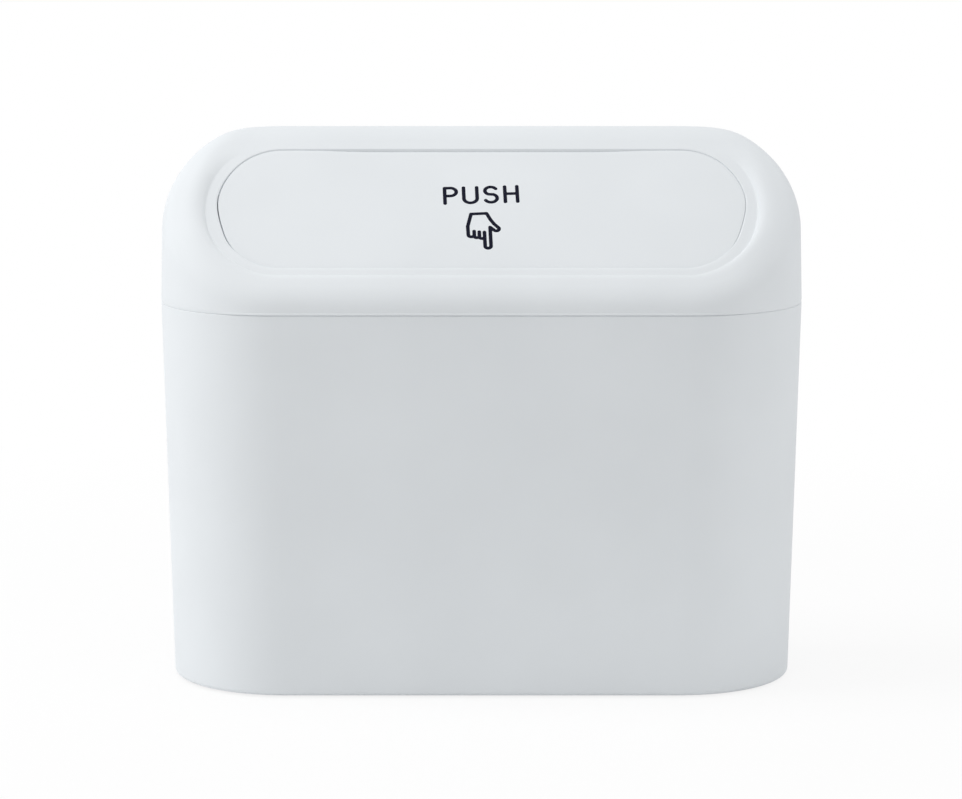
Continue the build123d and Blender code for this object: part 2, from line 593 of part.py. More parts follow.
def main():
    """Build and write every node."""
    os.makedirs("parts", exist_ok=True)
    save("bin_body", make_tub())
    for name, (x, y) in FOOT_POINTS.items():
        save(name, make_foot(x, y))
    save("lid_cover", make_cover())
    save("lid_frame", make_frame())
    save("frame_screws", make_frame_screws())
    save("bracket_screws", make_bracket_screws())
    for name, maker in (("hinge_bracket", make_bracket), ("hinge_pin", make_pin), ("spring", make_spring)):
        right = maker()
        save(f"{name}_right", right)
        save(f"{name}_left", mirror(right, about=Plane.YZ))
    save("flap_panel", make_flap_panel())
    save("flap_back", make_flap_back())
    save("flap_screws", make_flap_screws())
    save("stop_buffer_left", make_buffer(-1))
    save("stop_buffer_right", make_buffer(1))


main()
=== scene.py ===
"""Looks of a push top countertop bin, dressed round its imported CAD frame.

Sizes are in millimetres in the classes and become metres where a mesh is made.
+X runs along the bin, -Y is its front and +Z is up.
"""

from __future__ import annotations

import logging
import math
from collections.abc import Iterable, Sequence
from dataclasses import dataclass, field
from enum import Enum
from functools import partial

import bmesh
import bpy
import numpy as np
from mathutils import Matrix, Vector


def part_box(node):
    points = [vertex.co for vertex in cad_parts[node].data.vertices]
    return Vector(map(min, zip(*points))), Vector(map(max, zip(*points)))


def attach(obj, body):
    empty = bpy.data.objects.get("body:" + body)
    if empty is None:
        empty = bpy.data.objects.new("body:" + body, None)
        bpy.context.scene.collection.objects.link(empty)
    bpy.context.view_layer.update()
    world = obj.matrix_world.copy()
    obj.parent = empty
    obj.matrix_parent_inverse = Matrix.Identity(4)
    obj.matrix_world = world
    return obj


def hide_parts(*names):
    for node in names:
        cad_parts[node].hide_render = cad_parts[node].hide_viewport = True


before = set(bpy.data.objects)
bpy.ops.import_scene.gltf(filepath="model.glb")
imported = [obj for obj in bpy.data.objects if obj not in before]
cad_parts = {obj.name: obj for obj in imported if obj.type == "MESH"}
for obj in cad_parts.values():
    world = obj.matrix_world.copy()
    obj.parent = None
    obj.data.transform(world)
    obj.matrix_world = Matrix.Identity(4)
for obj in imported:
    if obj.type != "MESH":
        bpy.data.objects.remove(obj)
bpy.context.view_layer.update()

LOG = logging.getLogger("bin")
MM = 0.001
WELD_MM = 0.001
SHARP_ANGLE = math.radians(32)
# Most of a noise texture's values lie between these.
NOISE_LOW, NOISE_HIGH = 0.3, 0.7


class Side(Enum):
    """The two ends of the bin, as its nodes are named."""

    LEFT = "left"
    RIGHT = "right"


# ------------------------------------------------------------------ helpers
def linear(code: str) -> tuple[float, float, float, float]:
    """Turn an sRGB hex colour into Blender's linear colour.

    Args:
        code: Colour such as "#E3E7EA".

    Returns:
        Linear red, green, blue and an alpha of one.
    """
    parts = (int(code[i : i + 2], 16) / 255 for i in (1, 3, 5))
    red, green, blue = (c / 12.92 if c <= 0.04045 else ((c + 0.055) / 1.055) ** 2.4 for c in parts)
    return red, green, blue, 1.0


def add_node(
    tree: bpy.types.NodeTree,
    kind: str,
    values: dict[str | int, object] | None = None,
    links: dict[str | int, bpy.types.NodeSocket] | None = None,
    **settings: object,
) -> bpy.types.Node:
    """Add one node to a tree.

    Args:
        tree: Shader or geometry tree.
        kind: Blender's name of the node's type.
        values: Input name or number, and the value set on it.
        links: Input name or number, and the output that feeds it.
        **settings: The node's own properties.

    Returns:
        The new node.
    """
    node = tree.nodes.new(kind)
    for name, value in settings.items():
        setattr(node, name, value)
    for key, value in (values or {}).items():
        node.inputs[key].default_value = value
    for key, socket in (links or {}).items():
        tree.links.new(socket, node.inputs[key])
    return node


def start_nodes(owner: bpy.types.Material | bpy.types.World) -> partial:
    """Give a material or a world an empty tree.

    Args:
        owner: The material or world.

    Returns:
        What adds one node to it.
    """
    owner.use_nodes = True
    owner.node_tree.nodes.clear()
    return partial(add_node, owner.node_tree)


def new_piece(
    name: str,
    points: np.ndarray,
    faces: Iterable[Sequence[int]],
    edges: Iterable[Sequence[int]] = (),
) -> bpy.types.Object:
    """Make a smooth-shaded mesh object at the origin.

    Args:
        name: Piece name.
        points: Vertices in millimetres.
        faces: Vertex numbers of each face, outward.
        edges: Vertex numbers of each loose edge.

    Returns:
        The object, linked to the scene.
    """
    mesh = bpy.data.meshes.new(name)
    loose = [list(edge) for edge in edges]
    mesh.from_pydata((points * MM).tolist(), loose, [list(face) for face in faces])
    mesh.shade_smooth()
    mesh.set_sharp_from_angle(angle=SHARP_ANGLE)
    piece = bpy.data.objects.new(name, mesh)
    bpy.context.scene.collection.objects.link(piece)
    return piece


def between(rings: int, count: int, closed: bool) -> list[tuple[int, int, int, int]]:
    """List the faces that join rings of vertices.

    Args:
        rings: Number of rings.
        count: Number of vertices in each.
        closed: True to join the last ring to the first.

    Returns:
        Vertex numbers of each face.
    """
    return [
        (
            r * count + s,
            r * count + (s + 1) % count,
            (r + 1) % rings * count + (s + 1) % count,
            (r + 1) % rings * count + s,
        )
        for r in range(rings if closed else rings - 1)
        for s in range(count)
    ]


def weld(piece: bpy.types.Object) -> None:
    """Join vertices that lie in one place, and drop the faces that shrink to nothing.

    Args:
        piece: Object whose mesh is mended.
    """
    mesh = bmesh.new()
    mesh.from_mesh(piece.data)
    bmesh.ops.remove_doubles(mesh, verts=mesh.verts, dist=WELD_MM * MM)
    mesh.to_mesh(piece.data)
    mesh.free()


def new_tree(
    name: str, **inputs: str
) -> tuple[bpy.types.NodeTree, partial, bpy.types.NodeOutputs]:
    """Start a Geometry Nodes tree that takes and gives a geometry.

    Args:
        name: Tree name.
        **inputs: Name of each further input, and its kind, such as "Float".

    Returns:
        The tree, what adds one node to it, and its inputs.
    """
    tree = bpy.data.node_groups.new(name, "GeometryNodeTree")
    face = tree.interface
    face.new_socket("Geometry", in_out="OUTPUT", socket_type="NodeSocketGeometry")
    for label, kind in {"Geometry": "Geometry", **inputs}.items():
        face.new_socket(label, in_out="INPUT", socket_type=f"NodeSocket{kind}")
    add = partial(add_node, tree)
    return tree, add, add("NodeGroupInput").outputs


def grow(base: bpy.types.Object, tree: bpy.types.NodeTree, inputs: dict[str, object]) -> None:
    """Run a Geometry Nodes tree on an object and keep its result as a plain mesh.

    Args:
        base: Object whose geometry feeds the tree.
        tree: Geometry tree.
        inputs: Name of each tree input, and its value.
    """
    modifier = base.modifiers.new("grow", "NODES")
    modifier.node_group = tree
    sockets = (item for item in tree.interface.items_tree if item.in_out == "INPUT")
    identifiers = {socket.name: socket.identifier for socket in sockets}
    for name, value in inputs.items():
        modifier[identifiers[name]] = value
    bpy.context.view_layer.update()
    grown = base.evaluated_get(bpy.context.evaluated_depsgraph_get())
    mesh = bpy.data.meshes.new_from_object(grown)
    base.modifiers.clear()
    base.data = mesh
    mesh.shade_smooth()
    mesh.set_sharp_from_angle(angle=SHARP_ANGLE)


def up_slope(tilt: float) -> np.ndarray:
    """Return the unit vector up a surface that rises to the rear by tilt degrees."""
    return np.array([0.0, math.cos(math.radians(tilt)), math.sin(math.radians(tilt))])


def off_slope(tilt: float) -> np.ndarray:
    """Return the unit vector square to a surface that rises to the rear by tilt degrees."""
    return np.array([0.0, -math.sin(math.radians(tilt)), math.cos(math.radians(tilt))])


def turned(start: np.ndarray, end: np.ndarray, share: float) -> np.ndarray:
    """Turn rows of unit vectors part of the way to others.

    Args:
        start: Unit vectors at a share of zero.
        end: Unit vectors at a share of one.
        share: How far to turn.

    Returns:
        The turned unit vectors.
    """
    angle = np.arccos(np.clip(np.sum(start * end, axis=1), -1, 1))[:, None]
    return (start * np.sin((1 - share) * angle) + end * np.sin(share * angle)) / np.sin(angle)


def eased(share: np.ndarray | float) -> np.ndarray:
    """Hold a share between zero and one and smooth it at both ends."""
    held = np.clip(share, 0, 1)
    return held * held * (3 - 2 * held)


def steps(count: int, first: int = 1) -> np.ndarray:
    """Return even shares of one up to one, count of them, or one more if first is zero."""
    return np.arange(first, count + 1) / count


def set_height(ring: np.ndarray, height: np.ndarray | float) -> np.ndarray:
    """Return a ring at a height, which may differ at each station."""
    return np.column_stack([ring[:, 0], ring[:, 1], np.broadcast_to(height, len(ring))])


def normals_of(tilts: np.ndarray) -> np.ndarray:
    """Return the unit vectors square to surfaces with these tilts in degrees."""
    angles = np.radians(tilts)
    return np.column_stack([np.zeros(len(angles)), -np.sin(angles), np.cos(angles)])


# ------------------------------------------------------------------ finishes
class Finish:
    """A finish of this bin's pieces, whose material is made once and shared.

    Attributes:
        name: What it is.
        light: Its lighter colour.
        dark: Its darker colour.
        roughness: How far it scatters reflections.
        swing: How much the marks change that, either way.
        mark_mm: Size of its fine marks.
        mark_depth_mm: How deep they are.
        detail: How many finer sizes they mix in.
    """

    name: str
    light: str
    dark: str
    roughness: float
    swing: float
    mark_mm: float
    mark_depth_mm: float
    detail: float

    def material(self) -> bpy.types.Material:
        """Make the material on first use.

        Returns:
            The material.
        """
        label = f"{self.name}_finish"
        found = bpy.data.materials.get(label)
        if found is None:
            found = bpy.data.materials.new(label)
            add = start_nodes(found)
            surface = self.surface(add).outputs[0]
            add("ShaderNodeOutputMaterial", links={"Surface": surface})
        return found

    def surface(self, add: partial) -> bpy.types.Node:
        """Add the finish's nodes.

        Args:
            add: Adds one node to the material's tree.

        Returns:
            The last shader.
        """
        raise NotImplementedError

    def marked(
        self,
        add: partial,
        place: bpy.types.NodeSocket,
        tone: bpy.types.NodeSocket | None = None,
    ) -> dict[str, bpy.types.NodeSocket]:
        """Add the fine marks, which show in relief, in gloss and, without a tone, in colour.

        Args:
            add: Adds one node to the material's tree.
            place: Where each point of the surface lies.
            tone: What shades the colour in the marks' stead.

        Returns:
            The shader's inputs, and what feeds them.
        """
        marks = add(
            "ShaderNodeTexNoise",
            {"Scale": 1 / (self.mark_mm * MM), "Detail": self.detail},
            {"Vector": place},
        ).outputs[0]
        # Inputs 6 and 7 are the two colours, and output 2 is their mix.
        colour = add(
            "ShaderNodeMix",
            {6: linear(self.dark), 7: linear(self.light)},
            {0: tone or marks},
            data_type="RGBA",
        )
        relief = add("ShaderNodeBump", {"Distance": self.mark_depth_mm * MM}, {"Height": marks})
        fed = {"Base Color": colour.outputs[2], "Normal": relief.outputs[0]}
        if self.swing:
            gloss = add(
                "ShaderNodeMapRange",
                {
                    "From Min": NOISE_LOW,
                    "From Max": NOISE_HIGH,
                    "To Min": self.roughness - self.swing,
                    "To Max": self.roughness + self.swing,
                },
                {"Value": marks},
            )
            fed["Roughness"] = gloss.outputs[0]
        return fed

    def dress(self, *nodes: str) -> None:
        """Give CAD nodes this finish.

        Args:
            *nodes: Names of the CAD nodes.
        """
        for node in nodes:
            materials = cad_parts[node].data.materials
            for number in range(len(materials)):
                materials[number] = self.material()
            LOG.info("%s: %s", node, self.name)

    def coat(self, piece: bpy.types.Object) -> None:
        """Give a new piece this finish.

        Args:
            piece: The piece, all of whose faces get it.
        """
        piece.data.materials.clear()
        piece.data.materials.append(self.material())
        first = np.zeros(len(piece.data.polygons), dtype=np.int32)
        piece.data.polygons.foreach_set("material_index", first)


@dataclass(frozen=True)
class MouldedPlastic(Finish):
    """Plastic moulded against a finely spark-eroded steel: an even, soft matte skin."""

    name: str
    light: str
    dark: str
    roughness: float = 0.7
    swing: float = 0.05
    # An eroded skin is about 0.05 mm fine. It is drawn ten times coarser, so that it shows.
    mark_mm: float = 0.5
    mark_depth_mm: float = 0.004
    detail: float = 2.0
    ior: float = 1.49
    # The melt cools unevenly over a few centimetres, which clouds the colour very slightly.
    cloud_mm: float = 45.0
    cloud_low: float = 0.35      # noise below this is the dark tone
    cloud_high: float = 0.65     # and above this the light one

    def surface(self, add: partial) -> bpy.types.Node:
        """Clouded colour, with fine grain in gloss and relief.

        Args:
            add: Adds one node to the material's tree.

        Returns:
            The last shader.
        """
        place = add("ShaderNodeTexCoord").outputs["Object"]
        cloud = add("ShaderNodeTexNoise", {"Scale": 1 / (self.cloud_mm * MM)}, {"Vector": place})
        tone = add(
            "ShaderNodeMapRange",
            {"From Min": self.cloud_low, "From Max": self.cloud_high},
            {"Value": cloud.outputs[0]},
        )
        fed = self.marked(add, place, tone.outputs[0])
        return add("ShaderNodeBsdfPrincipled", {"IOR": self.ior}, fed)


@dataclass(frozen=True)
class Elastomer(Finish):
    """Moulded thermoplastic rubber: soft, matte and slightly dusty."""

    name: str
    light: str
    dark: str
    roughness: float = 0.78
    swing: float = 0.0
    # Its pits are some 0.1 mm wide. They are drawn coarser, so that they show.
    mark_mm: float = 0.6
    mark_depth_mm: float = 0.02
    detail: float = 3.0
    sheen: float = 0.15

    def surface(self, add: partial) -> bpy.types.Node:
        """Speckled colour, a pitted skin and a faint sheen.

        Args:
            add: Adds one node to the material's tree.

        Returns:
            The last shader.
        """
        place = add("ShaderNodeTexCoord").outputs["Object"]
        values = {"Roughness": self.roughness, "Sheen Weight": self.sheen}
        return add("ShaderNodeBsdfPrincipled", values, self.marked(add, place))


@dataclass(frozen=True)
class Steel(Finish):
    """Steel with the fine marks that plating, grinding or drawing leaves in its shine."""

    name: str
    light: str
    dark: str
    roughness: float
    swing: float
    # Its marks are a few hundredths of a millimetre wide, and are drawn coarser too.
    mark_mm: float
    mark_depth_mm: float = 0.002
    detail: float = 3.0
    stretch: float = 1.0

    def surface(self, add: partial) -> bpy.types.Node:
        """Marks, stretched along the bin, in colour, gloss and relief.

        Args:
            add: Adds one node to the material's tree.

        Returns:
            The last shader.
        """
        place = add("ShaderNodeTexCoord").outputs["Object"]
        stretched = add(
            "ShaderNodeMapping", {"Scale": (1 / self.stretch, 1.0, 1.0)}, {"Vector": place}
        )
        fed = self.marked(add, stretched.outputs[0])
        return add("ShaderNodeBsdfPrincipled", {"Metallic": 1.0}, fed)


@dataclass(frozen=True)
class PadInk(Finish):
    """Pad-printed ink: a thin satin film that takes on the plastic's grain."""

    name: str
    light: str
    dark: str
    roughness: float = 0.6
    swing: float = 0.0
    # The grain under the film, drawn coarser than it is, so that it shows.
    mark_mm: float = 0.35
    mark_depth_mm: float = 0.003
    detail: float = 2.0
    ior: float = 1.18

    def surface(self, add: partial) -> bpy.types.Node:
        """Near-even colour with faint specks.

        Args:
            add: Adds one node to the material's tree.

        Returns:
            The last shader.
        """
        place = add("ShaderNodeTexCoord").outputs["Object"]
        values = {"Roughness": self.roughness, "IOR": self.ior}
        return add("ShaderNodeBsdfPrincipled", values, self.marked(add, place))


WHITE = MouldedPlastic("white_polypropylene", "#E4E8EB", "#E1E5E8")
NATURAL = MouldedPlastic("natural_acetal", "#DCDFE0", "#D6DADB", roughness=0.36)
RUBBER = Elastomer("grey_elastomer", "#A6A8AA", "#989A9C")
ZINC = Steel("zinc_plated_steel", "#CBCFD3", "#B7BBC0", 0.3, 0.08, 0.5)
GROUND = Steel("ground_steel", "#C8C9CB", "#B6B8BB", 0.22, 0.06, 0.12, stretch=12.0)
SPRING = Steel("drawn_spring_steel", "#9C9EA2", "#85888D", 0.34, 0.08, 0.2, stretch=2.0)
INK = PadInk("navy_ink", "#080C24", "#05081A")


# ------------------------------------------------------------------ lid
@dataclass(frozen=True)
class Oblong:
    """Plan outline with full round ends, walked anticlockwise from the right end's front.

    Every outline has the same stations, so that rings on different outlines join up.
    """

    length: float
    depth: float
    middle_y: float = 0.0
    front_draw: float = 0.0      # how much shorter each end is towards the front
    draw_start: float = 0.25     # how far to the rear that begins, from -1 to 1
    draw_span: float = 0.6
    draw_return: float = 0.55    # the share of it that is given back at the front side
    return_start: float = -0.3   # how far to the front the giving back begins
    turn_steps: int = 96
    side_steps: int = 24

    def stations(self) -> tuple[np.ndarray, np.ndarray]:
        """Place the stations round the outline.

        Returns:
            Each station's place along the straight middle, from -1 to 1, and its direction.
        """
        turn = np.linspace(-math.pi / 2, math.pi / 2, self.turn_steps + 1)
        side = np.linspace(1, -1, self.side_steps + 1)[1:-1]
        flat = np.full(len(side), math.pi / 2)
        places = np.concatenate([np.ones(len(turn)), side, -np.ones(len(turn)), -side])
        angles = np.concatenate([turn, flat, turn + math.pi, flat + math.pi])
        return places, angles

    def away(self) -> np.ndarray:
        """Return each station's level unit vector, square to the outline and outward."""
        _, angles = self.stations()
        return np.column_stack([np.cos(angles), np.sin(angles), np.zeros(len(angles))])

    def ring(self, grow: np.ndarray | float = 0.0) -> np.ndarray:
        """Walk the outline, grown outward.

        Args:
            grow: How far out, for all stations or for each.

        Returns:
            The stations in plan, at z = 0.
        """
        places, _ = self.stations()
        spine = np.zeros((len(places), 3))
        spine[:, 0] = places * (self.length - self.depth) / 2
        spine[:, 1] = self.middle_y
        away = self.away()
        reach = self.depth / 2 + np.broadcast_to(grow, len(places))
        spine[:, 0] -= places * self.drawn_in(away[:, 1]) * reach / (self.depth / 2)
        return spine + away * reach[:, None]

    def drawn_in(self, rearward: np.ndarray) -> np.ndarray:
        """Measure how much shorter the ends are.

        Args:
            rearward: Place from the front side at -1 to the rear side at 1.

        Returns:
            The length taken off each end.
        """
        drawn = self.front_draw * eased((self.draw_start - rearward) / self.draw_span)
        given_back = eased((self.return_start - rearward) / (self.return_start + 1))
        return drawn * (1 - self.draw_return * given_back)

    def clearance(self, ring: np.ndarray) -> np.ndarray:
        """Measure how far points lie outside the outline.

        Args:
            ring: Points, of which only x and y count.

        Returns:
            The distance in plan, less than zero inside.
        """
        rearward = 2 * (ring[:, 1] - self.middle_y) / self.depth
        straight = (self.length - self.depth) / 2 - self.drawn_in(rearward)
        past_end = np.maximum(np.abs(ring[:, 0]) - straight, 0)
        return np.hypot(past_end, ring[:, 1] - self.middle_y) - self.depth / 2


@dataclass(frozen=True)
class LidSizes:
    """Sizes of the lid, from which its surfaces are worked out."""

    wall: float = 2.2
    draft: float = 1.5           # degrees that the wall leans in
    roll: float = 9.5            # radius of the round between wall and top
    seam_gap: float = 0.4        # between the solid lid and the tub
    face_tilt: float = 39.0
    bow: float = 800.0           # radius of the sloping face, which bulges a little
    front_rise: float = 6.7      # height over the tub's rim at which the face meets the front
    front_band: float = 5.9      # from the lid's outline in to the recess
    rear_band: float = 20.9
    end_band: float = 13.9
    crown_setback: float = 21.6  # from the rear to where the face turns over into the crest
    crown: float = 18.0          # radius of that turn
    crest_tilt: float = 8.0
    recess: float = 0.8          # depth of the recess in front
    recess_fade: float = 1.4     # how far short of the rear it has faded out
    ledge: float = 4.0           # width of the ledge round the flap
    flap_gap: float = 0.15       # between the flap and its opening
    corner_gap: float = 0.04     # the gap is tightest at the flap's rear corners
    gap_start: float = 0.5       # how far to the rear it starts to narrow, from -1 to 1
    gap_span: float = 0.4
    front_sink: float = 0.4      # how far the flap's skin lies under the ledge, in front
    rear_sink: float = 0.2       # the same at the middle of its rear edge
    corner_sink: float = -0.1    # and at the rear corners
    opening_draw: float = 1.1    # the flap's ends are a touch shorter towards the front
    corner_start: float = 34.0   # along the bin, from the middle to where the corner begins
    corner_end: float = 56.0


class LidShape:
    """The surfaces that the cover, the flap and the print share."""

    def __init__(self, sizes: LidSizes) -> None:
        """Work out the surfaces.

        Args:
            sizes: The lid's sizes.
        """
        self.sizes = sizes
        low, high = (np.array(corner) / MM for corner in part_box("lid_cover"))
        self.length, self.depth, _ = high - low
        self.foot_z = low[2]
        recess_depth = self.depth - sizes.front_band - sizes.rear_band
        recess_length = self.length - 2 * sizes.end_band
        middle_y = sizes.front_band + recess_depth / 2 - self.depth / 2
        self.outline = Oblong(self.length, self.depth)
        self.recess = Oblong(recess_length, recess_depth, middle_y)
        ledges = 2 * sizes.ledge
        self.opening = Oblong(
            recess_length - ledges, recess_depth - ledges, middle_y, sizes.opening_draw
        )
        rise = (self.depth / 2 + middle_y) * math.tan(math.radians(sizes.face_tilt))
        rim_z = self.foot_z - sizes.seam_gap
        face_point = np.array([0.0, middle_y, rim_z + sizes.front_rise + rise])
        self.bow_centre = face_point - off_slope(sizes.face_tilt) * sizes.bow
        crown_y = self.depth / 2 - sizes.crown_setback
        crown_tilt = math.degrees(math.asin((self.bow_centre[1] - crown_y) / sizes.bow))
        self.crown_centre = self.bow_centre + off_slope(crown_tilt) * (sizes.bow - sizes.crown)
        self.crown_tilt = crown_tilt
        span = recess_depth / math.cos(math.radians(sizes.face_tilt))
        cut = span - sizes.recess_fade
        self.flap_tilt = sizes.face_tilt + math.degrees(math.atan2(sizes.recess, cut))
        sunk = sizes.recess * (span / 2 - sizes.recess_fade) / cut
        self.flap_point = face_point - off_slope(sizes.face_tilt) * sunk
        self.flap_centre = self.flap_point - off_slope(self.flap_tilt) * sizes.bow

    def top(self, ring: np.ndarray, drop: float = 0.0) -> tuple[np.ndarray, np.ndarray]:
        """Find the lid's top, or a surface under it, over points in plan.

        Args:
            ring: Points, of which only y counts.
            drop: How far under the top, square to it.

        Returns:
            The height and the tilt in degrees over each point.
        """
        sizes, y = self.sizes, ring[:, 1]
        face_radius, crown_radius = sizes.bow - drop, sizes.crown - drop
        face_sine = (self.bow_centre[1] - y) / face_radius
        crown_sine = np.clip((self.crown_centre[1] - y) / crown_radius, -1, 1)
        face_tilt, crown_tilt = np.degrees(np.arcsin(face_sine)), np.degrees(np.arcsin(crown_sine))
        crest = self.crown_centre + off_slope(sizes.crest_tilt) * crown_radius
        height = np.where(
            crown_tilt > sizes.crest_tilt,
            self.crown_centre[2] + crown_radius * np.cos(np.radians(crown_tilt)),
            crest[2] + (y - crest[1]) * math.tan(math.radians(sizes.crest_tilt)),
        )
        tilt = np.maximum(crown_tilt, sizes.crest_tilt)
        on_face = face_tilt > self.crown_tilt
        face_height = self.bow_centre[2] + face_radius * np.cos(np.radians(face_tilt))
        return np.where(on_face, face_height, height), np.where(on_face, face_tilt, tilt)

    def ledge(
        self, ring: np.ndarray, drop: np.ndarray | float = 0.0
    ) -> tuple[np.ndarray, np.ndarray]:
        """Find the dome of the ledge and flap, or a surface under it, over points in plan.

        Args:
            ring: Points, of which only y counts.
            drop: How far under the dome, square to it.

        Returns:
            The height and the tilt in degrees over each point.
        """
        radius = self.sizes.bow - drop
        tilt = np.arcsin((self.flap_centre[1] - ring[:, 1]) / radius)
        return self.flap_centre[2] + radius * np.cos(tilt), np.degrees(tilt)

    def sink(self, x: np.ndarray, y: np.ndarray) -> np.ndarray:
        """Find how far the flap's skin lies under the ledge's dome, square to it.

        Args:
            x: Places along the bin.
            y: Places from front to rear.

        Returns:
            The sink at each place.
        """
        sizes = self.sizes
        rear = sizes.rear_sink + (sizes.corner_sink - sizes.rear_sink) * self.at_corner(x)
        share = 0.5 + (y - self.opening.middle_y) / self.opening.depth
        return sizes.front_sink + (rear - sizes.front_sink) * share

    def at_corner(self, x: np.ndarray) -> np.ndarray:
        """Return how far each place along the bin belongs to the flap's rear corners."""
        sizes = self.sizes
        return eased((np.abs(x) - sizes.corner_start) / (sizes.corner_end - sizes.corner_start))

    def gap(self) -> np.ndarray:
        """Find the gap round the flap, which narrows at its rear corners.

        Returns:
            The gap at each station.
        """
        sizes = self.sizes
        turned_rear = eased((self.opening.away()[:, 1] - sizes.gap_start) / sizes.gap_span)
        share = self.at_corner(self.opening.ring()[:, 0]) * turned_rear
        return sizes.flap_gap + (sizes.corner_gap - sizes.flap_gap) * share

    def skin(self, ring: np.ndarray, lift: float = 0.0) -> tuple[np.ndarray, np.ndarray]:
        """Find the flap's skin, or a surface over it, over points in plan.

        Args:
            ring: Points, of which only x and y count.
            lift: How far over the skin, square to it.

        Returns:
            The height and the tilt in degrees over each point.
        """
        return self.ledge(ring, self.sink(ring[:, 0], ring[:, 1]) - lift)

    def on_flap(self, x: np.ndarray, u: np.ndarray, lift: float) -> np.ndarray:
        """Place points on the flap's skin.

        Args:
            x: Places along the flap.
            u: Places up the flap, from its middle.
            lift: Height over the skin.

        Returns:
            The points.
        """
        y = self.flap_point[1] + u * math.cos(math.radians(self.flap_tilt))
        plan = np.column_stack([x, y])
        return set_height(plan, self.skin(plan, lift)[0])


@dataclass(frozen=True)
class CoverRings:
    """How many steps each part of the cover's section is drawn in."""

    foot_round: int = 4
    bead: int = 4
    wall: int = 6
    roll: int = 18
    top: int = 18
    rim: int = 12
    rim_root: int = 5
    ledge: int = 5
    nose: int = 7
    opening: int = 3
    inner_top: int = 14
    inner_roll: int = 10
    inner_wall: int = 4


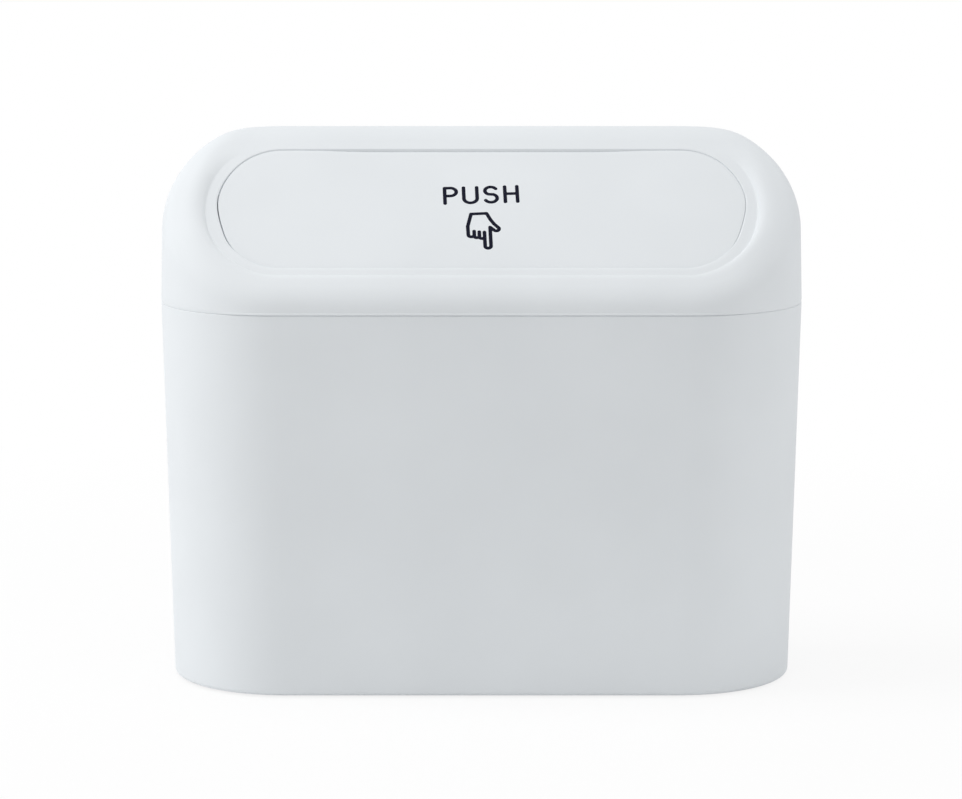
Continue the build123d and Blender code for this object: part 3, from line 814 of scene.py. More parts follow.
@dataclass
class Cover:
    """Outer shell of the lid: one closed skin with a soft-edged recess round the flap.

    Places from front to rear run from -1 to 1 round each outline's ends.
    """

    shape: LidShape
    counts: CoverRings = CoverRings()
    settling: int = 12           # rounds of working out where the roll lies
    corner_reach: float = 0.65   # how far round the front corner most sizes blend
    foot_round: float = 0.1
    seam: float = 0.07           # what is left of the gap over the tub, in front
    end_seam: float = 0.02       # and at the ends
    bead: float = 0.18           # the foot flares out a touch in front, as the mould left it
    end_bead: float = -0.1       # and stands in at the ends
    end_foot_round: float = 0.03
    seam_reach: float = 0.14     # how far round the front corner the foot's sizes blend
    bead_height: float = 0.3     # the flare dies away from here over the foot
    bead_end: float = 0.75       # up to here
    rim_end_rise: float = 1.4    # the rim round the recess stands up, most at the bin's ends
    rim_front_rise: float = 0.4
    rim_end_width: float = 3.0   # from the rim's crest in to its foot
    rim_front_width: float = 2.1
    rim_end_foot: float = 0.72   # the rim's foot, in from the recess outline
    rim_front_foot: float = 1.2
    rim_fade: float = 1.7        # how much further in it runs where it fades at the rear
    rim_end_reach: float = 8.5   # how far out of the recess outline the rise dies away
    rim_front_reach: float = 5.0
    rim_rear: float = 0.95       # place where the rise has died away towards the rear
    rim_rear_span: float = 0.65
    rim_root: float = 0.3        # the rim's foot rounds into the ledge over this width
    rim_cut: float = 0.88        # share of the rim's slope that is left over that rounding
    least_turn: float = 0.02     # radians that the rim's slope bends by at least
    fade_start: float = 0.6      # place where the rim's foot starts to run further in
    swell: float = 0.7           # the ledge stands up in front, and rolls in to the opening
    swell_edge: float = 0.15     # what is left of that at the opening
    swell_roll: float = 1.2
    swell_start: float = -0.5    # place where it starts towards the front
    rear_swell: float = 0.25     # the ledge stands up behind the flap too
    rear_swell_start: float = 0.55
    swell_span: float = 0.4
    nose_front: float = 0.2      # rounding of the ledge into the opening, in front
    nose_end: float = 0.6
    nose_rear: float = 0.3
    nose_reach_min: float = 0.05  # the least width that it takes up
    nose_clear: float = 0.05     # the ledge ends this far out of that rounding
    lip: float = 0.8             # rebate for the inner frame's flange
    lip_height: float = 1.6
    boss_width: float = 5.6
    boss_bore: float = 2.24
    boss_sides: int = 32
    boss_bite: float = 0.9       # how far a boss runs into the shell
    end_screw_setback: float = 10.5
    end_screw_y: float = 11.0
    side_screw_x: float = 40.0
    front_screw_setback: float = 6.4
    rear_screw_setback: float = 8.4
    bracket_screw_xs: tuple[float, float] = (57.8, 75.2)
    bracket_screw_y: float = 23.8
    bracket_grip: float = 4.0    # how far a screw stands out of its bracket's plate
    rings: list[np.ndarray] = field(default_factory=list)

    def build(self) -> None:
        """Make the shell and its bosses, and dress them."""
        self.add_outer_wall()
        outer = self.add_roll(self.shape.sizes.roll, 0.0, self.counts.roll, inner=False)
        self.add_face(outer)
        self.add_opening()
        self.add_inner()
        total, count = len(self.rings), len(self.rings[0])
        faces = between(total, count, closed=True)
        shell = new_piece("lid_shell", np.vstack(self.rings), faces)
        WHITE.coat(shell)
        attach(shell, "lid")
        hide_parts("lid_cover")
        LOG.info("lid_shell: %d rings of %d points", total, count)
        self.add_bosses(shell)

    def wall_grow(self, z: np.ndarray | float, inset: float = 0.0) -> np.ndarray | float:
        """Return how far the drafted wall stands out of the lid's outline at a height."""
        return -inset - (z - self.shape.foot_z) * math.tan(math.radians(self.shape.sizes.draft))

    def roll_centres(self, radius: float, inset: float) -> np.ndarray:
        """Find the middles of the round between a drafted wall and the top.

        Args:
            radius: Radius of the round.
            inset: How far the wall and the top are set in.

        Returns:
            One middle for each station.
        """
        outline, draft = self.shape.outline, math.radians(self.shape.sizes.draft)
        height = np.full(len(outline.ring()), self.shape.foot_z)
        for _ in range(self.settling):
            ring = outline.ring(self.wall_grow(height, inset) - radius / math.cos(draft))
            height, _ = self.shape.top(ring, inset + radius)
        return set_height(ring, height)

    def wall_normals(self) -> np.ndarray:
        """Return the drafted wall's outward unit vectors."""
        draft = math.radians(self.shape.sizes.draft)
        return self.shape.outline.away() * math.cos(draft) + np.array([0, 0, math.sin(draft)])

    def add_roll(self, radius: float, inset: float, count: int, inner: bool) -> np.ndarray:
        """Add the rings of the round between wall and top.

        Args:
            radius: Radius of the round.
            inset: How far the wall and the top are set in.
            count: Number of steps.
            inner: True to run from the top down to the wall.

        Returns:
            The last ring.
        """
        middles = self.roll_centres(radius, inset)
        _, tilts = self.shape.top(middles, inset + radius)
        ends = [self.wall_normals(), normals_of(tilts)]
        start, end = reversed(ends) if inner else ends
        for share in steps(count, 0):
            ring = middles + radius * turned(start, end, share)
            self.rings.append(ring if inner else self.raised(ring))
        return ring

    def add_outer_wall(self) -> None:
        """Add the lid's foot, with its rounded edge and faint bead, and the drafted wall."""
        sizes, reach = self.shape.sizes, self.seam_reach
        hang = sizes.seam_gap - self.along_side(self.seam, self.end_seam, reach)
        foot = self.shape.foot_z - hang
        self.add_ring(-self.lip, foot)
        bead = self.along_side(self.bead, self.end_bead, reach)
        radius = self.along_side(self.foot_round, self.end_foot_round, reach)
        for share in steps(self.counts.foot_round, 0):
            angle = (share - 1) * math.pi / 2
            grown = bead - radius * (1 - math.cos(angle))
            self.add_ring(grown, foot + radius * (1 + math.sin(angle)))
        for share in steps(self.counts.bead, 0):
            level = foot + self.bead_height + share * (self.bead_end - self.bead_height)
            self.add_ring(self.wall_grow(level) + bead * (1 - share), level)
        contact = self.roll_centres(sizes.roll, 0.0) + sizes.roll * self.wall_normals()
        start = foot + self.bead_end
        for share in steps(self.counts.wall)[:-1]:
            level = start + share * (contact[:, 2] - start)
            self.add_ring(self.wall_grow(level), level)

    def add_ring(self, grown: np.ndarray | float, level: np.ndarray | float) -> None:
        """Add a ring on the lid's outline.

        Args:
            grown: How far out of the outline.
            level: Its height, which may differ at each station.
        """
        self.rings.append(set_height(self.shape.outline.ring(grown), level))

    def along_side(self, front: float, end: float, reach: float | None = None) -> np.ndarray:
        """Blend a size from the front to the ends, where it stays the same to the rear.

        Args:
            front: Size in front.
            end: Size at the ends.
            reach: How far round the corner it blends, as a place from the front side.

        Returns:
            The size at each station.
        """
        return front + (end - front) * eased((self.rearward + 1) / (reach or self.corner_reach))

    @property
    def rearward(self) -> np.ndarray:
        """Return how far each station faces the rear, from -1 in front to 1 behind."""
        return self.shape.recess.away()[:, 1]

    def rim_rise(self) -> np.ndarray:
        """Return how far the rim's crest stands over the plain top at each station."""
        rise = self.along_side(self.rim_front_rise, self.rim_end_rise)
        return rise * eased((self.rim_rear - self.rearward) / self.rim_rear_span)

    def rim_place(self) -> tuple[np.ndarray, np.ndarray]:
        """Place the rim round the recess outline.

        Returns:
            How far the rim's foot and its crest lie out of that outline at each station.
        """
        foot = -self.along_side(self.rim_front_foot, self.rim_end_foot)
        faded = eased((self.rearward - self.fade_start) / (1 - self.fade_start))
        foot = foot - self.rim_fade * faded
        return foot, foot + self.along_side(self.rim_front_width, self.rim_end_width)

    def raised(self, ring: np.ndarray) -> np.ndarray:
        """Lift points of the lid's top by their share of the rim's rise.

        Args:
            ring: Points at or outside the rim's crest.

        Returns:
            The lifted points.
        """
        out = self.shape.recess.clearance(ring)
        crest = self.rim_place()[1]
        reach = self.along_side(self.rim_front_reach, self.rim_end_reach)
        lift = self.rim_rise() * (1 - eased((out - crest) / (reach - crest)))
        return ring + np.outer(lift, (0, 0, 1))

    def add_face(self, outer: np.ndarray) -> None:
        """Add the top, the rim round the recess and the ledge.

        Args:
            outer: Where the roll meets the top.
        """
        shape, recess = self.shape, self.shape.recess
        foot, crest = self.rim_place()
        start = recess.ring(crest)
        for share in steps(self.counts.top)[:-1]:
            ring = outer + share * (start - outer)
            self.rings.append(self.raised(set_height(ring, shape.top(ring)[0])))
        low = recess.ring(foot)
        low = set_height(low, self.ledge_height(low))
        depth = shape.top(low)[0] + self.rim_rise() - low[:, 2]
        turn = np.maximum(2 * np.arctan(depth / (crest - foot)), self.least_turn)
        for share in self.rim_cut * steps(self.counts.rim, 0):
            inward = np.sin(share * turn) / np.sin(turn)
            fallen = (1 - np.cos(share * turn)) / (1 - np.cos(turn)) * depth
            ring = recess.ring(crest + (foot - crest) * inward)
            height = shape.top(ring)[0] + self.rim_rise() - fallen
            self.rings.append(set_height(ring, height))
        high = self.rings[-1]
        flat = recess.ring(foot - self.rim_root)
        flat = set_height(flat, self.ledge_height(flat))
        for share in steps(self.counts.rim_root):
            ring = (1 - share) ** 2 * high + 2 * share * (1 - share) * low + share**2 * flat
            self.rings.append(ring)
        end = shape.opening.ring(self.nose_reach() + self.nose_clear)
        for share in steps(self.counts.ledge):
            ring = flat + share * (end - flat)
            self.rings.append(set_height(ring, self.ledge_height(ring)))

    def ledge_surface(self, ring: np.ndarray) -> tuple[np.ndarray, np.ndarray]:
        """Find the ledge, with its swell in front and at the rear.

        Args:
            ring: One point for each station.

        Returns:
            The height and the tilt in degrees over each point.
        """
        height, tilt = self.shape.ledge(ring)
        in_front = eased((self.swell_start - self.rearward) / self.swell_span)
        behind = eased((self.rearward - self.rear_swell_start) / self.swell_span)
        inward = 1 - np.clip(self.shape.opening.clearance(ring) / self.swell_roll, 0, 1)
        fall = self.swell - self.swell_edge
        swell = in_front * (self.swell - fall * inward**2) + behind * self.rear_swell
        slope = np.tan(np.radians(tilt)) - in_front * 2 * fall * inward / self.swell_roll
        return height + swell, np.degrees(np.arctan(slope))

    def ledge_height(self, ring: np.ndarray) -> np.ndarray:
        """Return the ledge's height, which never stands over the lid's top."""
        top = self.shape.top(ring)[0] + self.rim_rise()
        return np.minimum(self.ledge_surface(ring)[0], top)

    def nose(self) -> np.ndarray:
        """Return the rounding of the ledge into the opening at each station."""
        side = self.along_side(self.nose_front, self.nose_end)
        return side + (self.nose_rear - side) * eased(self.rearward)

    def nose_middles(self) -> tuple[np.ndarray, np.ndarray]:
        """Find the middles of the round between the ledge and the opening's wall.

        Returns:
            One middle for each station, and the ledge's unit vectors over them.
        """
        middles = self.shape.opening.ring(self.nose())
        height, tilts = self.ledge_surface(middles)
        normals = normals_of(tilts)
        return set_height(middles, height - self.nose() / normals[:, 2]), normals

    def nose_reach(self) -> np.ndarray:
        """Find how far out of the opening the round meets the ledge.

        Returns:
            The distance at each station.
        """
        opening = self.shape.opening
        middles, normals = self.nose_middles()
        offset = middles + normals * self.nose()[:, None] - opening.ring()
        return np.maximum(np.sum(offset * opening.away(), axis=1), self.nose_reach_min)

    def add_opening(self) -> None:
        """Add the rounded edge of the opening and its wall."""
        opening = self.shape.opening
        middles, start = self.nose_middles()
        end = -opening.away()
        for share in steps(self.counts.nose, 0):
            self.rings.append(middles + self.nose()[:, None] * turned(start, end, share))
        under = self.shape.top(opening.ring(), self.shape.sizes.wall)[0]
        upper = self.rings[-1][:, 2]
        for share in steps(self.counts.opening):
            self.rings.append(set_height(opening.ring(), upper + share * (under - upper)))

    def add_inner(self) -> None:
        """Add the shell's inside, down to the rebate for the frame."""
        shape, wall = self.shape, self.shape.sizes.wall
        radius = shape.sizes.roll - wall
        middles = self.roll_centres(radius, wall)
        _, tilts = shape.top(middles, wall + radius)
        contact = middles + radius * normals_of(tilts)
        start = shape.opening.ring()
        for share in steps(self.counts.inner_top)[:-1]:
            ring = start + share * (contact - start)
            self.rings.append(set_height(ring, shape.top(ring, wall)[0]))
        last = self.add_roll(radius, wall, self.counts.inner_roll, inner=True)
        shelf = shape.foot_z + self.lip_height
        for share in steps(self.counts.inner_wall):
            level = last[:, 2] + share * (shelf - last[:, 2])
            self.add_ring(self.wall_grow(level, wall), level)
        self.add_ring(-self.lip, shelf)

    def boss_feet(self) -> np.ndarray:
        """Place the bosses' feet: eight for the frame and four for the brackets.

        Returns:
            One point for each.
        """
        half_length, half_depth = self.shape.length / 2, self.shape.depth / 2
        shelf = self.shape.foot_z + self.lip_height
        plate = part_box("bracket_screws")[1].z / MM - self.bracket_grip
        spots = [
            (half_length - self.end_screw_setback, -self.end_screw_y, shelf),
            (half_length - self.end_screw_setback, self.end_screw_y, shelf),
            (self.side_screw_x, self.front_screw_setback - half_depth, shelf),
            (self.side_screw_x, half_depth - self.rear_screw_setback, shelf),
            *((x, self.bracket_screw_y, plate) for x in self.bracket_screw_xs),
        ]
        return np.array([(side * x, y, z) for x, y, z in spots for side in (-1, 1)])

    def boss_tree(self) -> bpy.types.NodeTree:
        """Draw the tree that stands a tube on each foot and runs it up into the shell.

        Returns:
            The Geometry Nodes tree.
        """
        tree, add, given = new_tree(
            "lid_bosses",
            Shell="Object",
            Finish="Material",
            Width="Float",
            Bore="Float",
            Bite="Float",
        )
        # A tube is a rectangle, as wide as its wall, walked round the wall's middle.
        both = {0: given["Width"], 1: given["Bore"]}
        summed = add("ShaderNodeMath", None, both, operation="ADD")
        middle = add("ShaderNodeMath", {1: 4.0}, {0: summed.outputs[0]}, operation="DIVIDE")
        left_over = add("ShaderNodeMath", None, both, operation="SUBTRACT")
        wall = add("ShaderNodeMath", {1: 2.0}, {0: left_over.outputs[0]}, operation="DIVIDE")
        path = add(
            "GeometryNodeCurvePrimitiveCircle",
            {"Resolution": self.boss_sides},
            {"Radius": middle.outputs[0]},
        )
        section = add(
            "GeometryNodeCurvePrimitiveQuadrilateral", {"Height": MM}, {"Width": wall.outputs[0]}
        )
        tube = add(
            "GeometryNodeCurveToMesh",
            None,
            {"Curve": path.outputs[0], "Profile Curve": section.outputs[0]},
        )
        stood = add(
            "GeometryNodeTransform",
            {"Translation": (0, 0, MM / 2)},
            {"Geometry": tube.outputs[0]},
        )
        # Its upper end is marked before it is copied, and then moves up into the shell.
        place = add("GeometryNodeInputPosition").outputs[0]
        parts = add("ShaderNodeSeparateXYZ", None, {0: place})
        upper = add("FunctionNodeCompare", {1: MM / 2}, {0: parts.outputs["Z"]})
        marked = add(
            "GeometryNodeStoreNamedAttribute",
            {"Name": "upper"},
            {"Geometry": stood.outputs[0], "Value": upper.outputs[0]},
            data_type="BOOLEAN",
        )
        copies = add(
            "GeometryNodeInstanceOnPoints",
            None,
            {"Points": given["Geometry"], "Instance": marked.outputs[0]},
        )
        real = add("GeometryNodeRealizeInstances", None, {0: copies.outputs[0]})
        shell = add("GeometryNodeObjectInfo", None, {"Object": given["Shell"]})
        hit = add(
            "GeometryNodeRaycast",
            {"Ray Direction": (0, 0, 1), "Ray Length": 1.0},
            {"Target Geometry": shell.outputs["Geometry"], "Source Position": place},
        )
        bite = add("ShaderNodeCombineXYZ", None, {"Z": given["Bite"]})
        target = add(
            "ShaderNodeVectorMath", None, {0: hit.outputs["Hit Position"], 1: bite.outputs[0]}
        )
        flag = add("GeometryNodeInputNamedAttribute", {"Name": "upper"}, data_type="BOOLEAN")
        fitted = add(
            "GeometryNodeSetPosition",
            None,
            {
                "Geometry": real.outputs[0],
                "Selection": flag.outputs["Attribute"],
                "Position": target.outputs[0],
            },
        )
        dressed = add(
            "GeometryNodeSetMaterial",
            None,
            {"Geometry": fitted.outputs[0], "Material": given["Finish"]},
        )
        add("NodeGroupOutput", None, {0: dressed.outputs[0]})
        return tree

    def add_bosses(self, shell: bpy.types.Object) -> None:
        """Stand the screw bosses under the shell.

        Args:
            shell: The lid's shell.
        """
        bosses = new_piece("lid_bosses", self.boss_feet(), [])
        grow(
            bosses,
            self.boss_tree(),
            {
                "Shell": shell,
                "Finish": WHITE.material(),
                "Width": self.boss_width * MM,
                "Bore": self.boss_bore * MM,
                "Bite": self.boss_bite * MM,
            },
        )
        WHITE.coat(bosses)
        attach(bosses, "lid")
        LOG.info("lid_bosses: %d faces", len(bosses.data.polygons))


@dataclass(frozen=True)
class TorsionSpring:
    """Spring that pushes the flap shut.

    Its coil and one leg sit in the lid, and the other leg moves with the flap.
    """

    side: Side
    tilt: float                  # of the flap, in degrees
    wire: float = 0.7
    coil: float = 2.8            # radius of the wire's middle
    pitch: float = 0.84
    turns: int = 5
    turn_steps: int = 40
    bend: float = 30.0           # part of the first turn that moves with the leg, in degrees
    bend_steps: int = 10
    flap_leg: float = 15.0
    lid_leg: float = 12.0
    wire_sides: int = 12

    def build(self) -> None:
        """Make the coil with its fixed leg, and the moving leg."""
        last = self.turns * 360 - self.tilt
        whole = np.linspace(self.bend / 2, last, self.turns * self.turn_steps)
        lid_end = self.on_coil(np.array([last])) + np.array([0, self.lid_leg, 0])
        flap_end = self.on_coil(np.zeros(1)) - self.flap_leg * up_slope(self.tilt)
        bent = self.on_coil(np.linspace(0, self.bend, self.bend_steps))
        self.draw("coil", np.vstack([self.on_coil(whole), lid_end]), "lid")
        self.draw("leg", np.vstack([flap_end, bent]), "flap")

    def on_coil(self, turn: np.ndarray) -> np.ndarray:
        """Place points on the right-hand coil.

        Args:
            turn: How far round from the moving leg, in degrees.

        Returns:
            The points.
        """
        pin_low, pin_high = (np.array(corner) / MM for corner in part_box("hinge_pin_right"))
        start_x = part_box("spring_right")[0].x / MM + self.wire / 2
        _, y, z = (pin_low + pin_high) / 2
        spin = np.radians(turn)
        round_pin = np.outer(np.sin(spin), up_slope(self.tilt)) - np.outer(
            np.cos(spin), off_slope(self.tilt)
        )
        along = np.outer(start_x + self.pitch * turn / 360, (1, 0, 0))
        return np.array([0, y, z]) + along + self.coil * round_pin

    def draw(self, part: str, path: np.ndarray, body: str) -> None:
        """Turn a path into wire.

        Args:
            part: What it is of the spring.
            path: Points along the right-hand wire's middle.
            body: Body that it rides on.
        """
        mirror = -1 if self.side is Side.LEFT else 1
        points = path * np.array([mirror, 1, 1])
        name, node = f"spring_{part}_{self.side.value}", f"spring_{self.side.value}"
        piece = new_piece(name, points, [], zip(range(len(path) - 1), range(1, len(path))))
        values = {"Radius": self.wire / 2 * MM, "Finish": SPRING.material()}
        grow(piece, self.wire_tree(), values)
        SPRING.coat(piece)
        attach(piece, body)
        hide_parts(node)
        LOG.info("%s: %d faces", name, len(piece.data.polygons))

    def wire_tree(self) -> bpy.types.NodeTree:
        """Draw the tree that gives a path its round wire.

        Returns:
            The Geometry Nodes tree.
        """
        tree, add, given = new_tree("spring_wire", Radius="Float", Finish="Material")
        path = add("GeometryNodeMeshToCurve", None, {"Mesh": given["Geometry"]})
        section = add(
            "GeometryNodeCurvePrimitiveCircle",
            {"Resolution": self.wire_sides},
            {"Radius": given["Radius"]},
        )
        wire = add(
            "GeometryNodeCurveToMesh",
            {"Fill Caps": True},
            {"Curve": path.outputs[0], "Profile Curve": section.outputs[0]},
        )
        real = add("GeometryNodeRealizeInstances", None, {"Geometry": wire.outputs[0]})
        coated = add(
            "GeometryNodeSetMaterial",
            None,
            {"Geometry": real.outputs[0], "Material": given["Finish"]},
        )
        add("NodeGroupOutput", None, {"Geometry": coated.outputs[0]})
        return tree


@dataclass(frozen=True)
class LidUnderside:
    """The parts screwed up into the lid: its frame, the hinge brackets and their springs."""

    shape: LidShape

    def build(self) -> None:
        """Dress the frame, the brackets and the pins, and make the springs."""
        WHITE.dress("lid_frame")
        ZINC.dress("frame_screws", "bracket_screws")
        for side in Side:
            NATURAL.dress(f"hinge_bracket_{side.value}")
            GROUND.dress(f"hinge_pin_{side.value}")
            TorsionSpring(side, self.shape.flap_tilt).build()


# ------------------------------------------------------------------ tub
@dataclass(frozen=True)
class Tub:
    """The tapered tub and its four rubber feet."""

    def build(self) -> None:
        """Dress the tub and its feet."""
        WHITE.dress("bin_body")
        for side in Side:
            RUBBER.dress(f"foot_front_{side.value}", f"foot_rear_{side.value}")


# ------------------------------------------------------------------ flap
@dataclass(frozen=True)
class Flap:
    """The push flap: its skin, the tray behind it, the screws and the soft stops."""

    shape: LidShape
    shift: float = 0.11          # the flap hangs a touch to the right in its opening
    edge_round: float = 0.3
    under: float = 2.3           # from the ledge's dome to the skin's back
    draft: float = 0.3           # the skin's edge narrows by this much towards its back
    back_steps: int = 8
    round_steps: int = 6
    face_steps: int = 16

    def build(self) -> None:
        """Make the skin, and dress the rest of the flap."""
        self.add_skin()
        WHITE.dress("flap_back")
        ZINC.dress("flap_screws")
        for side in Side:
            RUBBER.dress(f"stop_buffer_{side.value}")

    def add_skin(self) -> None:
        """Make the flap's skin: a closed dished plate with a rounded edge.

        Its rings run from the middle of its back, round the edge, to the middle of its face.
        """
        shape, opening = self.shape, self.shape.opening
        rightward = opening.away()[:, 0]
        gap = np.maximum(shape.gap(), shape.sizes.corner_gap + self.shift * rightward)
        spine = opening.ring(-opening.depth / 2)
        foot = opening.ring(-gap - self.draft)
        foot = set_height(foot, shape.ledge(foot, self.under)[0])
        rings = []
        for share in steps(self.back_steps, 0):
            ring = spine + share * (foot - spine)
            rings.append(set_height(ring, shape.ledge(ring, self.under)[0]))
        middles = opening.ring(-gap - self.edge_round)
        height, tilts = shape.skin(middles, -self.edge_round)
        middles = set_height(middles, height)
        start, end = opening.away(), normals_of(tilts)
        rings.append((foot + middles + self.edge_round * start) / 2)
        for share in steps(self.round_steps, 0):
            rings.append(middles + self.edge_round * turned(start, end, share))
        edge = rings[-1]
        for share in steps(self.face_steps):
            ring = edge + share * (spine - edge)
            rings.append(set_height(ring, shape.skin(ring)[0]))
        points = np.vstack(rings) + np.array([self.shift, 0, 0])
        piece = new_piece("flap_skin", points, between(len(rings), len(spine), closed=False))
        weld(piece)
        WHITE.coat(piece)
        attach(piece, "flap")
        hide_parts("flap_panel")
        LOG.info("flap_skin: %d faces", len(piece.data.polygons))


Stroke = list[tuple[float, float]]


def arc(
    middle: tuple[float, float],
    radii: tuple[float, float],
    start: float,
    end: float,
    count: int = 20,
) -> Stroke:
    """Draw part of an ellipse.

    Args:
        middle: Its middle.
        radii: Its half width and half height.
        start: Start angle in degrees, anticlockwise from the right.
        end: End angle in degrees.
        count: Number of steps.

    Returns:
        Points along it.
    """
    angles = np.radians(np.linspace(start, end, count + 1))
    return [
        (middle[0] + radii[0] * math.cos(a), middle[1] + radii[1] * math.sin(a)) for a in angles
    ]


@dataclass
class PushPrint:
    """The plain printed direction on the flap: what to do, over a hand that points there."""

    shape: LidShape
    height: float = 7.8          # of the letters, over all
    pen: float = 1.15            # width of every stroke
    widths: tuple[float, float, float, float] = (4.75, 5.25, 4.95, 4.95)
    gaps: tuple[float, float, float] = (1.15, 1.25, 1.35)
    middle: tuple[float, float] = (0.05, 5.2)    # of the word, from the flap's middle
    hand_place: tuple[float, float] = (-0.05, -17.6)
    tilt: float = 2.2            # of the whole print, in degrees anticlockwise
    half_width: float = 13.5     # of the grid that the ink is cut from
    bottom: float = -19.5
    top: float = 11.5
    cell: float = 0.14           # finer than a fifth of the pen, so that edges look smooth
    lift: float = 0.02           # film over the skin
    depth: float = 0.1           # and how far the piece runs into it
    least_share: float = 0.08    # the ink's edge keeps this share of a cell from its corners

    def letters(self) -> list[Stroke]:
        """Draw the four letters' strokes about the word's middle.

        Bare numbers are shares of a letter's height or width, and angles in degrees.

        Returns:
            Strokes along the pen's middle.
        """
        high = self.height - self.pen
        p, u, s, h = (width - self.pen for width in self.widths)
        starts = [0.0]
        for width, gap in zip(self.widths, self.gaps):
            starts.append(starts[-1] + width + gap)
        bowl = high * 0.26
        shoulder = (p - bowl * 1.1, high - bowl)
        glyphs = [
            [
                [
                    (0, 0),
                    (0, high),
                    *arc(shoulder, (bowl * 1.1, bowl), 90, -90),
                    (0, high - 2 * bowl),
                ]
            ],
            [[(0, high), *arc((u / 2, u * 0.46), (u / 2, u * 0.46), 180, 360), (u, high)]],
            [
                [
                    *arc((s / 2, high * 0.755), (s / 2 * 0.94, high * 0.245), 28, 248),
                    *arc((s / 2, high * 0.265), (s / 2, high * 0.265), 66, -152),
                ]
            ],
            [[(0, 0), (0, high)], [(h, 0), (h, high)], [(0, high * 0.53), (h, high * 0.53)]],
        ]
        whole = starts[-1] + self.widths[-1]
        return [
            [(x + start + self.pen / 2 - whole / 2, y - high / 2) for x, y in stroke]
            for start, strokes in zip(starts, glyphs)
            for stroke in strokes
        ]

    def hand(self) -> list[Stroke]:
        """Draw a hand that points down, from its fingertip up.

        Returns:
            Strokes along the pen's middle.
        """
        tip, thumb = 0.9, 0.85
        outline = [
            (-3.3, 14.7),
            (1.5, 14.8),
            (2.5, 12.3),
            (3.6, 10.3),
            *arc((4.25, 8.2), (thumb, thumb), 52, -135, 10),
            (2.35, 9.0),
            *arc((1.45, 1.3), (tip, tip), 0, -180, 12),
            (0.55, 4.6),
            *arc((-0.25, 4.95), (0.8, 0.55), -20, -160, 8),
            *arc((-1.85, 5.35), (0.8, 0.55), -20, -160, 8),
            *arc((-3.5, 6.0), (0.95, 0.8), -20, -170, 8),
            (-4.5, 9.6),
            (-3.3, 14.7),
        ]
        creases = [(0.55, 4.6, 7.0), (-1.05, 5.0, 7.2), (-2.6, 5.5, 7.5)]
        return [outline, *([(x, low), (x, high)] for x, low, high in creases)]

    def film(self, x: np.ndarray, y: np.ndarray) -> np.ndarray:
        """Measure how far points lie outside the ink.

        Args:
            x: Places across the print.
            y: Places up the print.

        Returns:
            The distance, less than zero in the ink.
        """
        turn = math.radians(self.tilt)
        flat_x = x * math.cos(turn) + y * math.sin(turn)
        flat_y = y * math.cos(turn) - x * math.sin(turn)
        nearest = np.full(x.shape, np.inf)
        drawn = ((self.letters(), self.middle), (self.hand(), self.hand_place))
        for strokes, (middle_x, middle_y) in drawn:
            for stroke in strokes:
                for (ax, ay), (bx, by) in zip(stroke, stroke[1:]):
                    run_x, run_y = bx - ax, by - ay
                    from_x, from_y = flat_x - middle_x - ax, flat_y - middle_y - ay
                    along = (from_x * run_x + from_y * run_y) / (run_x**2 + run_y**2)
                    along = np.clip(along, 0, 1)
                    off = np.hypot(from_x - along * run_x, from_y - along * run_y)
                    nearest = np.minimum(nearest, off - self.pen / 2)
        return nearest

    def build(self) -> None:
        """Cut the ink out of a fine grid, give it thickness and lay it on the flap."""
        across = np.arange(-self.half_width, self.half_width, self.cell)
        upward = np.arange(self.bottom, self.top, self.cell)
        grid_x, grid_y = np.meshgrid(across, upward, indexing="ij")
        film = self.film(grid_x, grid_y)
        spots: dict[tuple, int] = {}
        plan: list[tuple[float, float]] = []
        faces: list[list[int]] = []

        def spot(key: tuple, x: float, y: float) -> int:
            """Number a point, which faces share.

            Args:
                key: Grid corner, or the pair that it lies between.
                x: Its place across the print.
                y: Its place up the print.

            Returns:
                Its number in the plan.
            """
            if key not in spots:
                spots[key] = len(plan)
                plan.append((x, y))
            return spots[key]

        inked = film < 0
        some = inked[:-1, :-1] | inked[1:, :-1] | inked[1:, 1:] | inked[:-1, 1:]
        for i, j in np.argwhere(some):
            corners = [(i, j), (i + 1, j), (i + 1, j + 1), (i, j + 1)]
            face = []
            for here, there in zip(corners, corners[1:] + corners[:1]):
                if inked[here]:
                    face.append(spot(here, grid_x[here], grid_y[here]))
                if inked[here] != inked[there]:
                    low, high = sorted((here, there))
                    share = film[low] / (film[low] - film[high])
                    share = np.clip(share, self.least_share, 1 - self.least_share)
                    x = grid_x[low] + share * (grid_x[high] - grid_x[low])
                    y = grid_y[low] + share * (grid_y[high] - grid_y[low])
                    face.append(spot((low, high), x, y))
            faces.append(face)
        count = len(plan)
        x, y = np.array(plan).T
        points = np.vstack(
            [self.shape.on_flap(x, y, self.lift), self.shape.on_flap(x, y, -self.depth)]
        )
        edges = {(a, b) for face in faces for a, b in zip(face, face[1:] + face[:1])}
        sides = [(a + count, b + count, b, a) for a, b in edges if (b, a) not in edges]
        under = [[number + count for number in reversed(face)] for face in faces]
        piece = new_piece("push_print", points, faces + under + sorted(sides))
        INK.coat(piece)
        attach(piece, "flap")
        LOG.info("push_print: %d points", 2 * count)


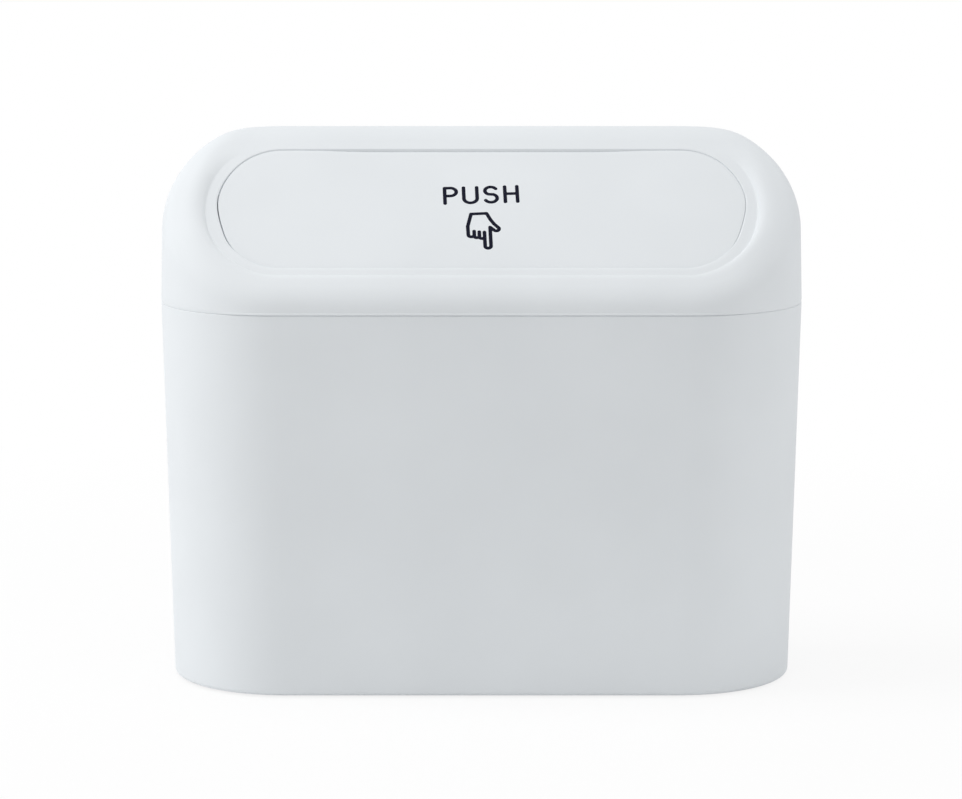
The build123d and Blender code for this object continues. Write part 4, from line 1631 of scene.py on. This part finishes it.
# ------------------------------------------------------------------ studio
@dataclass(frozen=True)
class Softbox:
    """A square lamp that faces the bin."""

    name: str
    watts: float
    width: float
    azimuth: float               # degrees round from the front, anticlockwise seen from above
    elevation: float
    distance: float
    aim_z: float = 0.09

    def build(self) -> None:
        """Hang the lamp."""
        lamp = bpy.data.lights.new(self.name, "AREA")
        lamp.size, lamp.energy = self.width, self.watts
        turn, rise = math.radians(self.azimuth), math.radians(self.elevation)
        back = Vector(
            (math.sin(turn) * math.cos(rise), -math.cos(turn) * math.cos(rise), math.sin(rise))
        )
        hung = bpy.data.objects.new(self.name, lamp)
        hung.location = Vector((0, 0, self.aim_z)) + back * self.distance
        hung.rotation_euler = back.to_track_quat("Z", "Y").to_euler()
        bpy.context.scene.collection.objects.link(hung)
        LOG.info("%s: %.1f W", self.name, self.watts)


@dataclass(frozen=True)
class Studio:
    """Camera, lamps, world and floor."""

    camera_place: tuple[float, float, float] = (0.0, -1.031, 0.2567)
    camera_dip: float = 0.163    # radians under level
    lens: float = 124.35
    shift: float = -0.5 / 962    # half a pixel, of the 962 across the view
    ambient: float = 0.61        # the world's strength as a lamp
    floor_size: float = 8.0
    floor_tone: str = "#F6F6F6"
    near_bloom: float = 0.84     # share of plain white in what the camera sees of the floor
    far_bloom: float = 1.0
    bloom_start: float = 0.12    # metres from the middle of the bin
    bloom_end: float = 0.45
    lamps: tuple[Softbox, ...] = (
        Softbox("left_high_softbox", 5.3, 0.6, -85, 55, 1.4),
        Softbox("left_low_softbox", 3.7, 0.6, -85, 5, 1.4),
        Softbox("right_low_softbox", 2.6, 0.6, 85, 5, 1.4),
        Softbox("top_softbox", 3.45, 0.8, 0, 88, 1.4),
    )

    def build(self) -> None:
        """Set up the view and the light."""
        scene = bpy.context.scene
        scene.view_settings.view_transform = "Standard"
        lens = bpy.data.cameras.new("camera")
        lens.lens, lens.shift_x = self.lens, self.shift
        camera = bpy.data.objects.new("camera", lens)
        camera.location = self.camera_place
        camera.rotation_euler = (math.pi / 2 - self.camera_dip, 0, 0)
        scene.collection.objects.link(camera)
        scene.camera = camera
        for lamp in self.lamps:
            lamp.build()
        self.build_world()
        self.build_floor()

    def build_world(self) -> None:
        """Even light all round, which the camera and clear reflections see as white."""
        world = bpy.data.worlds.new("world")
        bpy.context.scene.world = world
        add = start_nodes(world)
        strength = add(
            "ShaderNodeMapRange", {"To Min": self.ambient, "To Max": 1.0}, {0: self.seen(add)}
        )
        light = add(
            "ShaderNodeBackground", {"Color": (1, 1, 1, 1)}, {"Strength": strength.outputs[0]}
        )
        add("ShaderNodeOutputWorld", None, {"Surface": light.outputs[0]})

    def build_floor(self) -> None:
        """Pale paper under the bin, which keeps a faint shadow."""
        half = self.floor_size / 2 / MM
        corners = np.array([(-half, -half, 0), (half, -half, 0), (half, half, 0), (-half, half, 0)])
        floor = new_piece("floor", corners, [(0, 1, 2, 3)])
        paper = bpy.data.materials.new("sweep_paper_finish")
        add = start_nodes(paper)
        matte = add("ShaderNodeBsdfDiffuse", {"Color": linear(self.floor_tone)})
        white = add("ShaderNodeEmission", {"Color": (1, 1, 1, 1), "Strength": 1.0})
        place = add("ShaderNodeTexCoord").outputs["Object"]
        away = add("ShaderNodeVectorMath", None, {0: place}, operation="LENGTH")
        bloom = add(
            "ShaderNodeMapRange",
            {
                "From Min": self.bloom_start,
                "From Max": self.bloom_end,
                "To Min": self.near_bloom,
                "To Max": self.far_bloom,
            },
            {"Value": away.outputs["Value"]},
            interpolation_type="SMOOTHSTEP",
        )
        share = add(
            "ShaderNodeMath",
            None,
            {0: self.seen(add), 1: bloom.outputs[0]},
            operation="MULTIPLY",
        )
        both = add(
            "ShaderNodeMixShader",
            None,
            {0: share.outputs[0], 1: matte.outputs[0], 2: white.outputs[0]},
        )
        add("ShaderNodeOutputMaterial", None, {"Surface": both.outputs[0]})
        floor.data.materials.append(paper)

    @staticmethod
    def seen(add: partial) -> bpy.types.NodeSocket:
        """Tell rays that show the surroundings from those that light the bin.

        Args:
            add: Adds one node to the tree.

        Returns:
            One for camera, glossy and transmission rays, and zero for others.
        """
        path = add("ShaderNodeLightPath").outputs
        clear = add(
            "ShaderNodeMath",
            None,
            {0: path["Is Glossy Ray"], 1: path["Is Transmission Ray"]},
            operation="MAXIMUM",
        )
        return add(
            "ShaderNodeMath",
            None,
            {0: path["Is Camera Ray"], 1: clear.outputs[0]},
            operation="MAXIMUM",
        ).outputs[0]


def main() -> None:
    """Build the studio and the bin."""
    logging.basicConfig(level=logging.INFO, format="%(name)s: %(message)s")
    Studio().build()
    shape = LidShape(LidSizes())
    Tub().build()
    Cover(shape).build()
    LidUnderside(shape).build()
    Flap(shape).build()
    PushPrint(shape).build()


if __name__ == "__main__":
    main()
